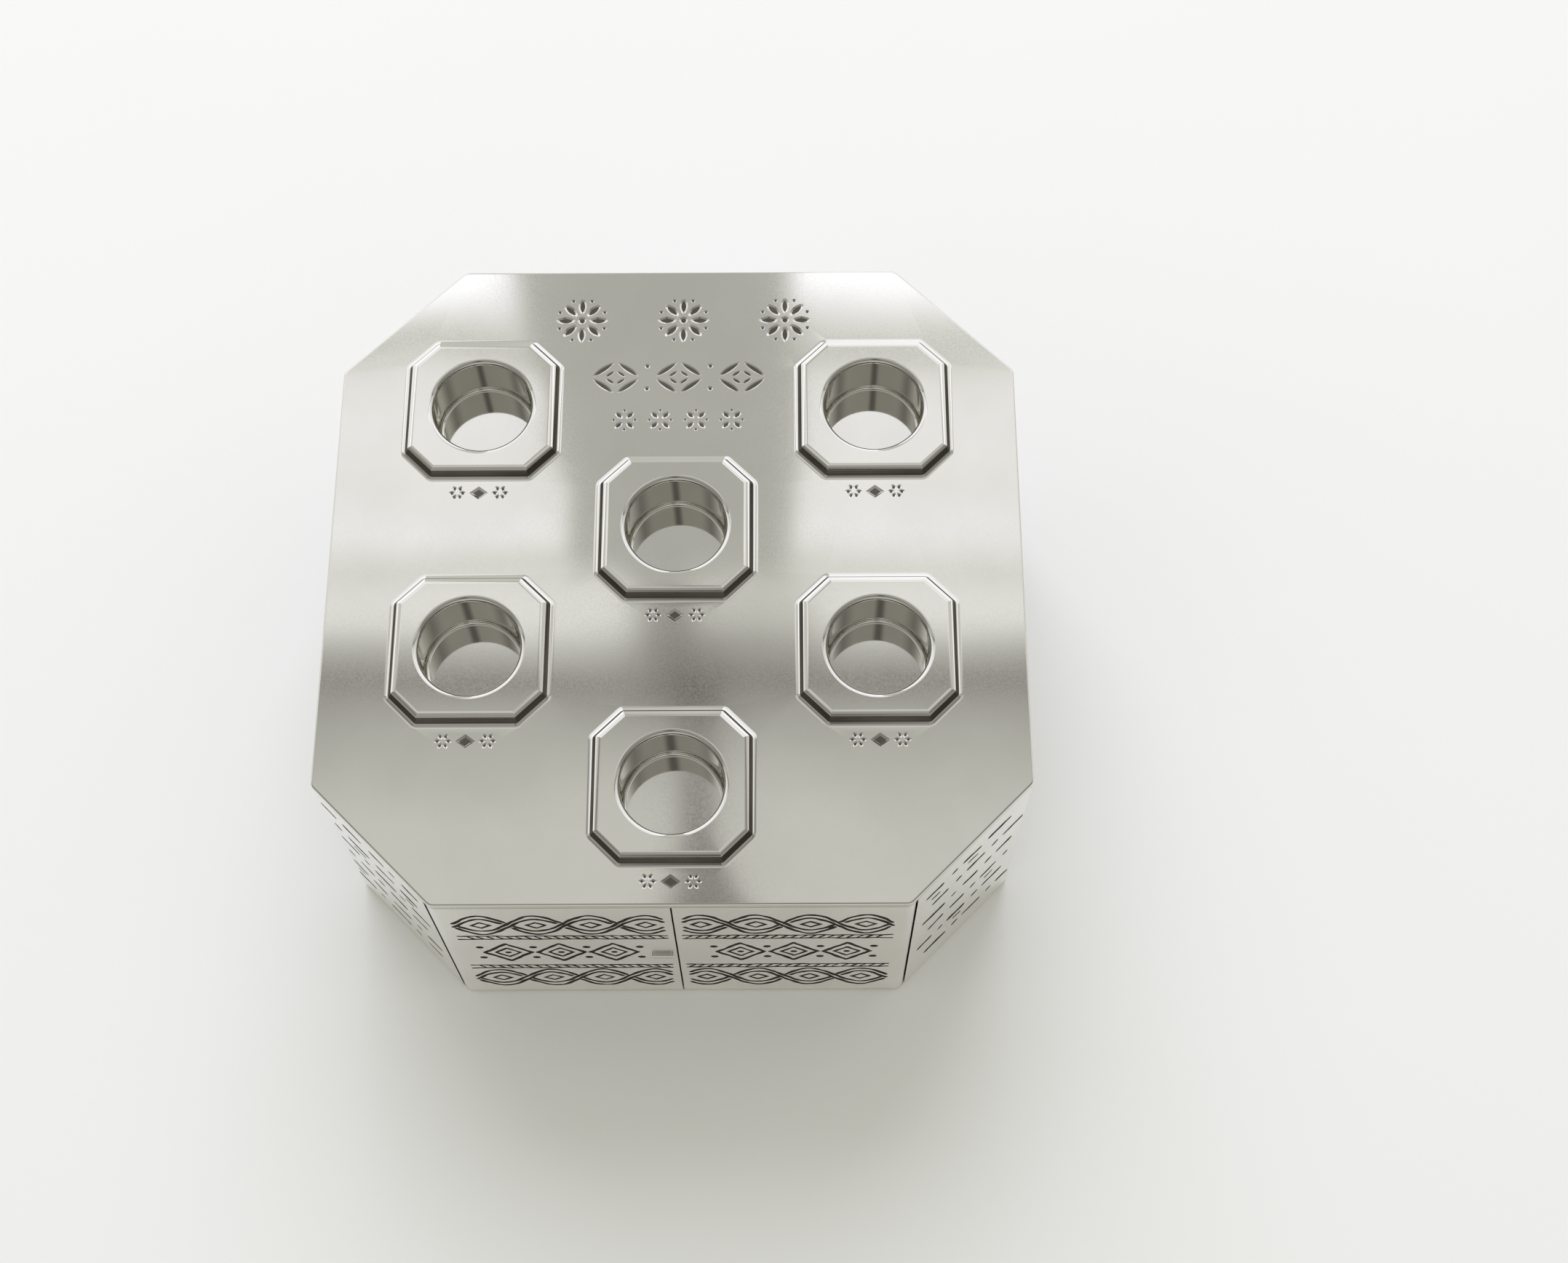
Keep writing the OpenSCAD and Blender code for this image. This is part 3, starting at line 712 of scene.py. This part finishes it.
def gem(x, y, wide, high):
    """A filled lozenge with sloping walls, like a cut gem set upside down."""
    corners = four_corners(wide, high)
    depth = high / 2 * (1 - GEM_FLOOR) * WALL_SLOPE
    floor = [(x + a * GEM_FLOOR, y + b * GEM_FLOOR, depth) for a, b in corners]
    return [(x + a, y + b) for a, b in corners], floor


def spokes(x, y, count, inner, outer, width, first=0.0):
    """Cuts set round a centre like spokes."""
    made = []
    for k in range(count):
        a = math.radians(first + 360 * k / count)
        c, s = math.cos(a), math.sin(a)
        made.append(lens((x + inner * c, y + inner * s), (x + outer * c, y + outer * s), width))
    return made


def pits_round(x, y, count, distance, radius, first=0.0):
    """Pits set round a centre."""
    turns = [math.radians(first + 360 * k / count) for k in range(count)]
    return [pit(x + distance * math.cos(a), y + distance * math.sin(a), radius) for a in turns]


def lozenge(x, y, wide, high, width):
    """Four cuts that frame a lozenge and stop short of each other at its corners."""
    ends = four_corners(wide, high)
    made = []
    near, far = LOZENGE_GAP, 1 - LOZENGE_GAP
    for (ax, ay), (bx, by) in zip(ends, ends[1:] + ends[:1]):
        made.append(lens((x + ax + (bx - ax) * near, y + ay + (by - ay) * near),
                         (x + ax + (bx - ax) * far, y + ay + (by - ay) * far), width))
    return made


# %% [markdown]
# The top plate carries a plain traditional ornament behind the dishes and a small one in front of
# each dish: three rosettes, three lozenges, a row of small crosses, and a lozenge with two flowers.
# The cuts are up to 4 mm wide, so they read from across a table.

# %% Ornament of the top plate
ROSETTE_Y = 141.0
LOZENGE_Y = 107.5
LOZENGE_PITS_Y = (114.0, 101.0)
CROSS_Y = 83.0
SPRIG_DROP = 46.6
FLOWER_REACH = 10.6
engraving = []
for x in (-50.0, 2.0, 54.0):
    engraving += spokes(x, ROSETTE_Y, count=8, inner=3.4, outer=13.4, width=4.2)
    engraving += pits_round(x, ROSETTE_Y, count=8, distance=12.4, radius=1.1, first=22.5)
    engraving.append(pit(x, ROSETTE_Y, radius=2.2))
for x in (-32.0, 0.0, 32.0):
    engraving += lozenge(x, LOZENGE_Y, wide=25, high=19, width=3.2)
    engraving += lozenge(x, LOZENGE_Y, wide=11, high=8.4, width=1.9)
for x in (-16.0, 16.0):
    engraving += [pit(x, y, radius=1.4) for y in LOZENGE_PITS_Y]
for x in (-27.0, -9.0, 9.0, 27.0):
    engraving += spokes(x, CROSS_Y, count=4, inner=1.2, outer=6.8, width=2.9, first=45)
    engraving += pits_round(x, CROSS_Y, count=4, distance=5.4, radius=0.9)
for x, y in moved(DISHES.values(), (0, -SPRIG_DROP)):
    engraving.append(gem(x, y, wide=9.4, high=7.2))
    for flower_x in (x - FLOWER_REACH, x + FLOWER_REACH):
        engraving += spokes(flower_x, y, count=6, inner=1.0, outer=4.3, width=2.1)
print("cuts in the top plate:", len(engraving))

# %% [markdown]
# The top plate is one pressed and machined slab: a thick band with a rounded upper edge, a thin
# deck, and a low hollow-curved swelling under each dish. Every dish hangs in a round hole. The
# edge and the swellings are stacks of rings, and the deck between them is one filled drawing. The
# top of each swelling, close under the flange, takes the dark patina finish as painted shade.

# %% Top plate
SKIRT_INSET = 0.3
BOSS_R = 5.0
BOSS_H = 5.0
UNSHADED_RINGS = 6
top = Shell()
edge = [(case_ring(SKIRT_INSET), RIM_Z), (case_ring(0), RIM_Z + SKIRT_INSET)]
edge += [(case_ring(TOP_R - d), z) for d, z in arc((0, DECK_Z - TOP_R), TOP_R, 0, 90, 8)]
top.stack(edge)
SWEEP_R = (COLLAR_SPREAD ** 2 + COLLAR_H ** 2) / (2 * COLLAR_H)
SWEEP_ANGLE = math.degrees(math.asin(COLLAR_SPREAD / SWEEP_R))
sweep = arc((-COLLAR_SPREAD, DECK_Z + SWEEP_R), SWEEP_R, -90, SWEEP_ANGLE - 90, 10)
feet = []
holes = []
for place in DISHES.values():
    rings = [(moved(pad_ring(inset), place), z) for inset, z in sweep]
    feet.append(rings[0][0])
    top.stack(rings[:UNSHADED_RINGS])
    # Painted shade: the rings close under the flange take the dark patina finish.
    top.stack(rings[UNSHADED_RINGS - 1:], THIRD)
    hole = circle(*place, HOLE_R)
    holes.append(hole)
    draw_flat(top, rings[-1][0], [hole], lambda x, y, d: (x, y, FLANGE_Z))
    top.band(hole, DECK_Z - DECK_T, hole, FLANGE_Z)
draw_flat(top, case_ring(TOP_R), feet, lambda x, y, d: (x, y, DECK_Z - d), cuts=engraving)
inner = octagon(BODY - 2 * BAND_W, inner_cut(CORNER_CUT, BAND_W))
posts = [circle(x, y, BOSS_R, 48) for x in (-POST, POST) for y in (-POST, POST)]
draw_flat(top, inner, holes + posts, lambda x, y, d: (x, y, DECK_Z - DECK_T))
for post in posts:
    top.band(post, DECK_Z - DECK_T - BOSS_H, post, DECK_Z - DECK_T)
    top.face([(x, y, DECK_Z - DECK_T - BOSS_H) for x, y in post])
top.band(inner, RIM_Z, inner, DECK_Z - DECK_T)
draw_flat(top, case_ring(SKIRT_INSET), [inner], lambda x, y, d: (x, y, RIM_Z))

# %% Lip under the top plate
LIP_OUT = 1.2
LIP_IN = 3.2
LIP_FRONT = -168.2
LIP_H = 1.2
LIP_OVERLAP = 0.4
front_slot = [(-BODY, -BODY), (BODY, -BODY), (BODY, LIP_FRONT), (-BODY, LIP_FRONT)]
barrels = [circle(side * HINGE[0], HINGE[1], EDGE_R + HINGE_GAP, 64) for side in (-1, 1)]
lip_inner = octagon(BODY - 2 * LIP_IN, inner_cut(CORNER_CUT, LIP_IN))
lip_loops = [case_ring(LIP_OUT), lip_inner, front_slot, *barrels]
prism(top, lip_loops, lambda inside: inside == {0}, RIM_Z - LIP_H, RIM_Z + LIP_OVERLAP)
make_piece("silver_top_plate", top, [DECK, CUT, PATINA_AND_SHADE], "case", "silver_plate", "top_plate")

# %% [markdown]
# A dish is an eight-sided flange with a softly crowned border, and a round cup that hangs below
# it. The flange is stacked from rings; the cup, being round, is a section turned about its axis.
# The crown meets the flange's side in a crisp edge with a very small round, because a real edge
# is never a line: it is the thin bright stripe that draws the shape.

# %% Dishes
EDGE_ROUND = 0.2
CROWN_R = (CROWN_W ** 2 + CROWN_H ** 2) / (2 * CROWN_H)
CROWN_TILT = math.degrees(math.asin((CROWN_W - EDGE_ROUND / 2) / CROWN_R))
crown = [(CROWN_W + d, z) for d, z in arc((0, FLANGE_TOP - CROWN_R), CROWN_R, 90 + CROWN_TILT, 90, 9)]
round_centre = (crown[0][0] + EDGE_ROUND * math.sin(math.radians(CROWN_TILT)),
                crown[0][1] - EDGE_ROUND * math.cos(math.radians(CROWN_TILT)))
side_round = arc(round_centre, EDGE_ROUND, 180, 90 + CROWN_TILT, 4)
flange_section = [(EDGE_ROUND, FLANGE_Z), (side_round[0][0], FLANGE_Z + EDGE_ROUND), *side_round, *crown[1:]]
print("tilt at the crown's edge:", round(CROWN_TILT, 1), "degrees")


def make_dish(name, place):
    """One dish, with a polished flange and a mirror well."""
    dish = Shell()
    rings = [(moved(pad_ring(inset), place), z) for inset, z in flange_section]
    dish.stack(rings)
    well = arc((WELL_R + MOUTH_R, FLANGE_TOP - MOUTH_R), MOUTH_R, 90, 180, 8)
    well += arc((WELL_R - FLOOR_R, WELL_FLOOR + FLOOR_R), FLOOR_R, 0, -90, 8)
    outer_r = FLOOR_R + WELL_WALL
    cup_r = WELL_R + WELL_WALL
    cup = [(cup_r, FLANGE_Z)]
    cup += arc((cup_r - outer_r, WELL_FLOOR - WELL_WALL + outer_r), outer_r, 0, -90, 8)
    for section in (well, cup):
        dish.stack([(circle(*place, r), z) for r, z in section], SECOND)
    for r, z in (well[-1], cup[-1]):
        dish.face([(x, y, z) for x, y in circle(*place, r)], SECOND)
    draw_flat(dish, rings[-1][0], [circle(*place, well[0][0])], lambda x, y, d: (x, y, FLANGE_TOP))
    draw_flat(dish, rings[0][0], [circle(*place, cup_r)], lambda x, y, d: (x, y, FLANGE_Z))
    return make_piece(name + "_silver_dish", dish, [DECK, WELL], name + "_cup", "polished_silver",
                      name + "_dish")


for dish_name, dish_place in DISHES.items():
    make_dish(dish_name, dish_place)

# %% [markdown]
# Lines etched by hand stray a little and swell and thin as the resist pen moves. A stroke is a
# chain of short quads along its path. A sum of three slow waves moves it sideways and another
# changes its width; the seed is fixed, so that each run draws the same lines.

# %% Hand-drawn lines
HAND = random.Random(11)
SWAY_LENGTHS = (11, 19, 37)
PRESS_LENGTHS = (7, 13, 29)
PRESS = 0.28


def sway(lengths, size):
    """A smooth random function of the distance along a line."""
    waves = [(2 * math.pi / length, HAND.uniform(0, 2 * math.pi)) for length in lengths]
    return lambda s: size * sum(math.sin(k * s + phase) for k, phase in waves) / len(waves)


def pen(points, width, stray=0.5):
    """Quads of a hand-drawn line through the points, with rounded ends."""
    side = sway(SWAY_LENGTHS, stray)
    press = sway(PRESS_LENGTHS, PRESS)
    travelled = 0.0
    rails = []
    for i, (x, y) in enumerate(points):
        ax, ay = points[max(i - 1, 0)]
        bx, by = points[min(i + 1, len(points) - 1)]
        if i:
            travelled += math.hypot(x - points[i - 1][0], y - points[i - 1][1])
        length = math.hypot(bx - ax, by - ay)
        nx, ny = -(by - ay) / length, (bx - ax) / length
        shift = side(travelled)
        half_width = width / 2 * (1 + press(travelled))
        rails.append([(x + nx * (shift + w), y + ny * (shift + w)) for w in (half_width, -half_width)])
    quads = [[a[0], a[1], b[1], b[0]] for a, b in zip(rails, rails[1:])]
    for left, right_side in (rails[0], rails[-1]):
        middle = ((left[0] + right_side[0]) / 2, (left[1] + right_side[1]) / 2)
        quads.append(circle(*middle, math.dist(left, right_side) / 2, 10))
    return quads


def steps_between(start, stop, step=1.6):
    """Evenly spaced points on a straight line."""
    count = max(2, round(math.dist(start, stop) / step))
    return [tuple(a + (b - a) * k / count for a, b in zip(start, stop)) for k in range(count + 1)]


# %% [markdown]
# The sides of the case are one sheet bent round seven sides, with its seams at the doors' hinges.
# Each corner face is etched with staggered courses of dashes and dots, an old masonry pattern.
# Its plan is a drawing stood up, and the four corner faces are left open and filled with their own
# etched drawings.

# %% Courses of dashes
COURSE_TOP = 134.0
COURSE_STEP = 21.5
COURSES = 6
STAGGER = 6.0
FACE_LENGTH = CORNER_CUT * math.sqrt(2)
FACE_START = 7.0
FACE_STOP = FACE_LENGTH - 8.0
DASH = (6.5, 13.0)
DASH_WIDTH = (3.3, 4.3)
GAP = (7.2, 8.7)
LEAN = (-1.2, 1.2)
LOWER_DROP = (8.5, 10.5)
LOWER_WIDTH = 2.4
LOWER_CHANCE = 0.4
DOT_LENGTH = (0.8, 2.4)
DOT_WIDTH = 3.2
DOT_CHANCE = 0.6


def courses():
    """Strokes on one corner face: s runs along the face from its front end, t is the height."""
    strokes = []
    for row in range(COURSES):
        t = COURSE_TOP - COURSE_STEP * row
        s = FACE_START + HAND.uniform(0, 3) + (row % 2) * STAGGER
        while s < FACE_STOP - 2:
            stop = min(s + HAND.uniform(*DASH), FACE_STOP)
            lean = HAND.uniform(*LEAN)
            if stop - s > 3:
                strokes += pen(steps_between((s, t), (stop, t + lean), 1.5), HAND.uniform(*DASH_WIDTH), 0.3)
            if HAND.random() < LOWER_CHANCE and stop - s > 8:
                low = t - HAND.uniform(*LOWER_DROP)
                strokes += pen(steps_between((s + 4, low), (stop - 1, low + lean), 1.5), LOWER_WIDTH, 0.3)
            s = stop + HAND.uniform(*GAP)
            if HAND.random() < DOT_CHANCE and s < FACE_STOP:
                dot_stop = (s + HAND.uniform(*DOT_LENGTH), t + 0.3)
                strokes += pen(steps_between((s, t), dot_stop, 0.8), DOT_WIDTH, 0.2)
                s += HAND.uniform(*GAP)
    return strokes


# %% Sides
ETCH_DEPTH = 0.12
sides_shell = Shell()
front_gap = [(-HINGE[0], -BODY), (HINGE[0], -BODY), (HINGE[0], HINGE[1]), (-HINGE[0], HINGE[1])]
wall_loops = [case_ring(0), case_ring(WALL_T), front_gap, *barrels]
drawn = []


def is_corner_face(a, b):
    """Whether an outline edge is the long edge of a corner face; it is then noted for drawing."""
    middle_x, middle_y = (a[0] + b[0]) / 2, (a[1] + b[1]) / 2
    reach = abs(middle_x) + abs(middle_y)
    found = abs(reach - (BODY - CORNER_CUT)) < 0.01 and math.dist(a, b) > FACE_LENGTH / 2
    if found:
        drawn.append((a, b))
    return found


prism(sides_shell, wall_loops, lambda inside: inside == {0}, BASE_TOP, RIM_Z, is_corner_face)
for a, b in drawn:
    front_end, far_end = sorted((a, b), key=lambda p: abs(p[0]))
    if front_end[1] > 0:
        front_end, far_end = far_end, front_end
    length = math.dist(front_end, far_end)
    run = ((far_end[0] - front_end[0]) / length, (far_end[1] - front_end[1]) / length)
    inward = (-math.copysign(math.sqrt(0.5), front_end[0] + far_end[0]),
              -math.copysign(math.sqrt(0.5), front_end[1] + far_end[1]))

    def on_face(s, t, depth, start=front_end, run=run, inward=inward):
        """Point in space of a place on this corner face."""
        return (start[0] + run[0] * s + inward[0] * depth, start[1] + run[1] * s + inward[1] * depth, t)

    outline = [(0, BASE_TOP), (length, BASE_TOP), (length, RIM_Z), (0, RIM_Z)]
    draw_flat(sides_shell, outline, [], on_face, strokes=courses(), sunk=ETCH_DEPTH)
print("etched corner faces:", len(drawn))
make_piece("silver_sides", sides_shell, [SIDE, OXIDE], "case", "silver_plate", "wall_band")

# %% [markdown]
# The doors carry a plain etched ornament of ribbons, lozenges and cords. A ribbon is a pair of
# lines along a wave; where two ribbons cross, one is left out under the other, as in plaiting.
# Distances run from the seam between the doors, so one drawing serves both, each with its own sway.

# %% Ornament of the doors
LINE = 2.2
THIN_LINE = 1.7
WAVE = 26.0
RIBBON = 2.6
RIBBON_START = 5.0
RIBBON_STEP = 1.3
RIBBON_Z = (123.0, 29.0)
RIBBON_SWING = 12.5
CORD_Z = (102.0, 50.0)
CORD_HALF = 2.6
TICK_HALF = (1.2, 1.6)
TICK_WIDTH = 1.4
TICK_STEP = (4.2, 5.0)
DIAMOND_Z = 76.0
DIAMONDS = (31.0, 57.0, 83.0)
DOTS = (18.0, 44.0, 70.0, 96.0)
DOT_RISE = 9.0
DOOR_REACH = 104.0


def ribbon_band(middle, height, reach):
    """Two plaited ribbons along the door: each crosses over and under in turn."""
    strokes = []
    for strand in (1, -1):
        for rail in (RIBBON, -RIBBON):
            path = []
            for k in range(int(reach / RIBBON_STEP) + 1):
                a = RIBBON_START + k * RIBBON_STEP
                phase = math.pi * a / WAVE
                z = middle + strand * height * math.sin(phase) + rail
                other = middle - strand * height * math.sin(phase)
                crossing = round(a / WAVE)
                under = (crossing % 2 == 0) == (strand == 1)
                if under and abs(z - other) < RIBBON + LINE and abs(a - crossing * WAVE) < WAVE / 3:
                    if len(path) > 3:
                        strokes += pen(path, LINE)
                    path = []
                else:
                    path.append((a, z))
            if len(path) > 3:
                strokes += pen(path, LINE)
    return strokes


def dot(a, z, radius):
    """A filled round, not quite true."""
    ring = circle(a, z, radius, 12)
    return [[(x + HAND.uniform(-0.12, 0.12), y + HAND.uniform(-0.12, 0.12)) for x, y in ring]]


def diamond(a, z, wide, high, width):
    """An outlined lozenge drawn in one go."""
    ends = moved(four_corners(wide, high), (a, z))
    strokes = []
    for p, q in zip(ends, ends[1:] + ends[:1]):
        strokes += pen(steps_between(p, q, 1.5), width, 0.3)
    return strokes


def cord(z, reach):
    """Two lines with slanting ticks between them, like a twisted cord."""
    strokes = []
    run, rise = TICK_HALF
    for line_z in (z + CORD_HALF, z - CORD_HALF):
        strokes += pen(steps_between((4, line_z), (reach, line_z)), THIN_LINE)
    a = 6.5
    while a < reach - 3:
        strokes += pen(steps_between((a - run, z - rise), (a + run, z + rise), 1.1), TICK_WIDTH, 0.2)
        a += HAND.uniform(*TICK_STEP)
    return strokes


def door_ornament():
    """All strokes on one door."""
    strokes = []
    for middle in RIBBON_Z:
        strokes += ribbon_band(middle, RIBBON_SWING, DOOR_REACH - RIBBON_START)
        for k in range(4):
            strokes += diamond((k + 0.5) * WAVE, middle, wide=9, high=9, width=THIN_LINE)
    for z in CORD_Z:
        strokes += cord(z, DOOR_REACH)
    for a in DIAMONDS:
        strokes += diamond(a, DIAMOND_Z, wide=23, high=30, width=LINE)
        strokes += diamond(a, DIAMOND_Z, wide=12, high=15, width=THIN_LINE)
        strokes += dot(a, DIAMOND_Z, radius=1.7)
    for a in DOTS:
        for z in (DIAMOND_Z + DOT_RISE, DIAMOND_Z - DOT_RISE):
            strokes += dot(a, z, radius=2.0)
    return strokes


# %% [markdown]
# Each door is a flat leaf that runs into its barrel, a rounded upright that is also the case's
# front corner. The plan is drawn once and stood up; the front face is left open for its etched
# drawing. The free edge has a small round that catches a thin line of light at the seam.

# %% Doors
DOOR_LOW = 4.0
DOOR_HIGH = 150.0
DOOR_FRONT = -170.0
DOOR_BACK = -168.5
SEAM = 0.3
SEAM_ROUND = 0.6
HANDLE_X = 7.5
HANDLE_Z = 72.0
STEM_R = 1.2
ROD_HOLE_R = 1.55


def make_door(side, name):
    """Door on one side; side is -1 for left and 1 for right."""
    door = Shell()
    rounded = arc((SEAM + SEAM_ROUND, DOOR_FRONT + SEAM_ROUND), SEAM_ROUND, 180, 270, 6)
    half_leaf = [(HINGE[0], DOOR_BACK), (SEAM, DOOR_BACK), *rounded, (HINGE[0], DOOR_FRONT)]
    leaf = [(side * x, y) for x, y in half_leaf]
    barrel = circle(side * HINGE[0], HINGE[1], EDGE_R, 96)
    rod_hole = circle(side * HINGE[0], HINGE[1], ROD_HOLE_R, 32)
    stem = [] if side > 0 else [circle(HANDLE_X, HANDLE_Z, STEM_R, 24)]

    def is_open(a, b):
        """Whether a plan edge is a long one that is drawn later: the front, and a back with a hole."""
        drawn_later = (DOOR_FRONT, DOOR_BACK) if stem else (DOOR_FRONT,)
        return math.dist(a, b) > 20 and any(abs(a[1] - y) + abs(b[1] - y) < 0.001 for y in drawn_later)

    prism(door, [leaf, barrel, rod_hole], lambda inside: inside and 2 not in inside, DOOR_LOW,
          DOOR_HIGH, is_open)
    outline = [(SEAM + SEAM_ROUND, DOOR_LOW), (HINGE[0], DOOR_LOW), (HINGE[0], DOOR_HIGH),
               (SEAM + SEAM_ROUND, DOOR_HIGH)]
    draw_flat(door, outline, stem, lambda a, z, d: (side * a, DOOR_FRONT + d, z), strokes=door_ornament(),
              sunk=ETCH_DEPTH)
    if stem:
        meets = HINGE[0] - math.sqrt(EDGE_R ** 2 - (DOOR_BACK - HINGE[1]) ** 2)
        inside_face = [(SEAM, DOOR_LOW), (meets, DOOR_LOW), (meets, DOOR_HIGH), (SEAM, DOOR_HIGH)]
        draw_flat(door, inside_face, stem, lambda a, z, d: (side * a, DOOR_BACK, z))
        for p, q in zip(stem[0], stem[0][1:] + stem[0][:1]):
            door.face([(side * p[0], DOOR_FRONT, p[1]), (side * q[0], DOOR_FRONT, q[1]),
                       (side * q[0], DOOR_BACK, q[1]), (side * p[0], DOOR_BACK, p[1])])
    return make_piece(name + "_etched_door", door, [SIDE, OXIDE], name + "_leaf", "etched_silver",
                      name + "_door")


make_door(-1, "left")
make_door(1, "right")

# %% [markdown]
# The handle is a small cast bar with round ends and softened edges. Its plan is a stadium, and
# rings of that plan, each a little smaller, make the rounded front.

# %% Handle
BAR_W = 12.0
BAR_H = 4.5
BAR_PROUD = 2.0
BAR_ROUND = 0.9
STEM_END = -167.3


def stadium(inset):
    """Outline of the bar seen from the front."""
    r = BAR_H / 2 - inset
    reach = BAR_W / 2 - BAR_H / 2
    ends = [arc((reach, 0), r, -90, 90, 12), arc((-reach, 0), r, 90, 270, 12)]
    return [(-HANDLE_X + x, HANDLE_Z + z) for end in ends for x, z in end]


handle = Shell(order=(0, 2, 1))
bar_rings = [(stadium(0), DOOR_FRONT)]
front_round = arc((0, 0), BAR_ROUND, 0, 90, 6)
bar_rings += [(stadium(BAR_ROUND - d), DOOR_FRONT - BAR_PROUD + BAR_ROUND - y) for d, y in front_round]
handle.stack(bar_rings)
handle.face([(*p, bar_rings[-1][1]) for p in bar_rings[-1][0]])
stem_ring = circle(-HANDLE_X, HANDLE_Z, STEM_R, 24)
draw_flat(handle, stadium(0), [stem_ring], lambda x, z, d: (x, z, DOOR_FRONT))
handle.band(stem_ring, DOOR_FRONT, stem_ring, STEM_END)
handle.face([(*p, STEM_END) for p in stem_ring])
make_piece("silver_door_handle", handle, [WELL], "left_leaf", "silver_plate", "door_handle")

# %% [markdown]
# The pieces inside and below keep their solids, which are already right, and only take a finish.
# Round pieces are shaded smooth up to 30 degrees, so that rods and tubes look turned.

# %% Finishes of the carried-over solids
SHARP_SOLID = math.radians(30)
FINISHES = {
    TRAY: ["base_plate", "lower_shelf", "upper_shelf", "lower_spacers", "middle_spacers", "upper_spacers"],
    STEEL: ["left_hinge_rod", "right_hinge_rod", "hinge_washers", "handle_nut", "catch_bracket",
            "left_strike", "right_strike", "tie_rods", "tie_nuts"],
    NICKEL: ["catch_magnets"],
    RUBBER: ["rubber_feet"],
}
for finish, names in FINISHES.items():
    for node_name in names:
        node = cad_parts[node_name]
        node.data.materials.clear()
        node.data.materials.append(finish)
        node.data.shade_smooth()
        node.data.set_sharp_from_angle(angle=SHARP_SOLID)
print("solids that keep their shape:", sum(len(names) for names in FINISHES.values()))
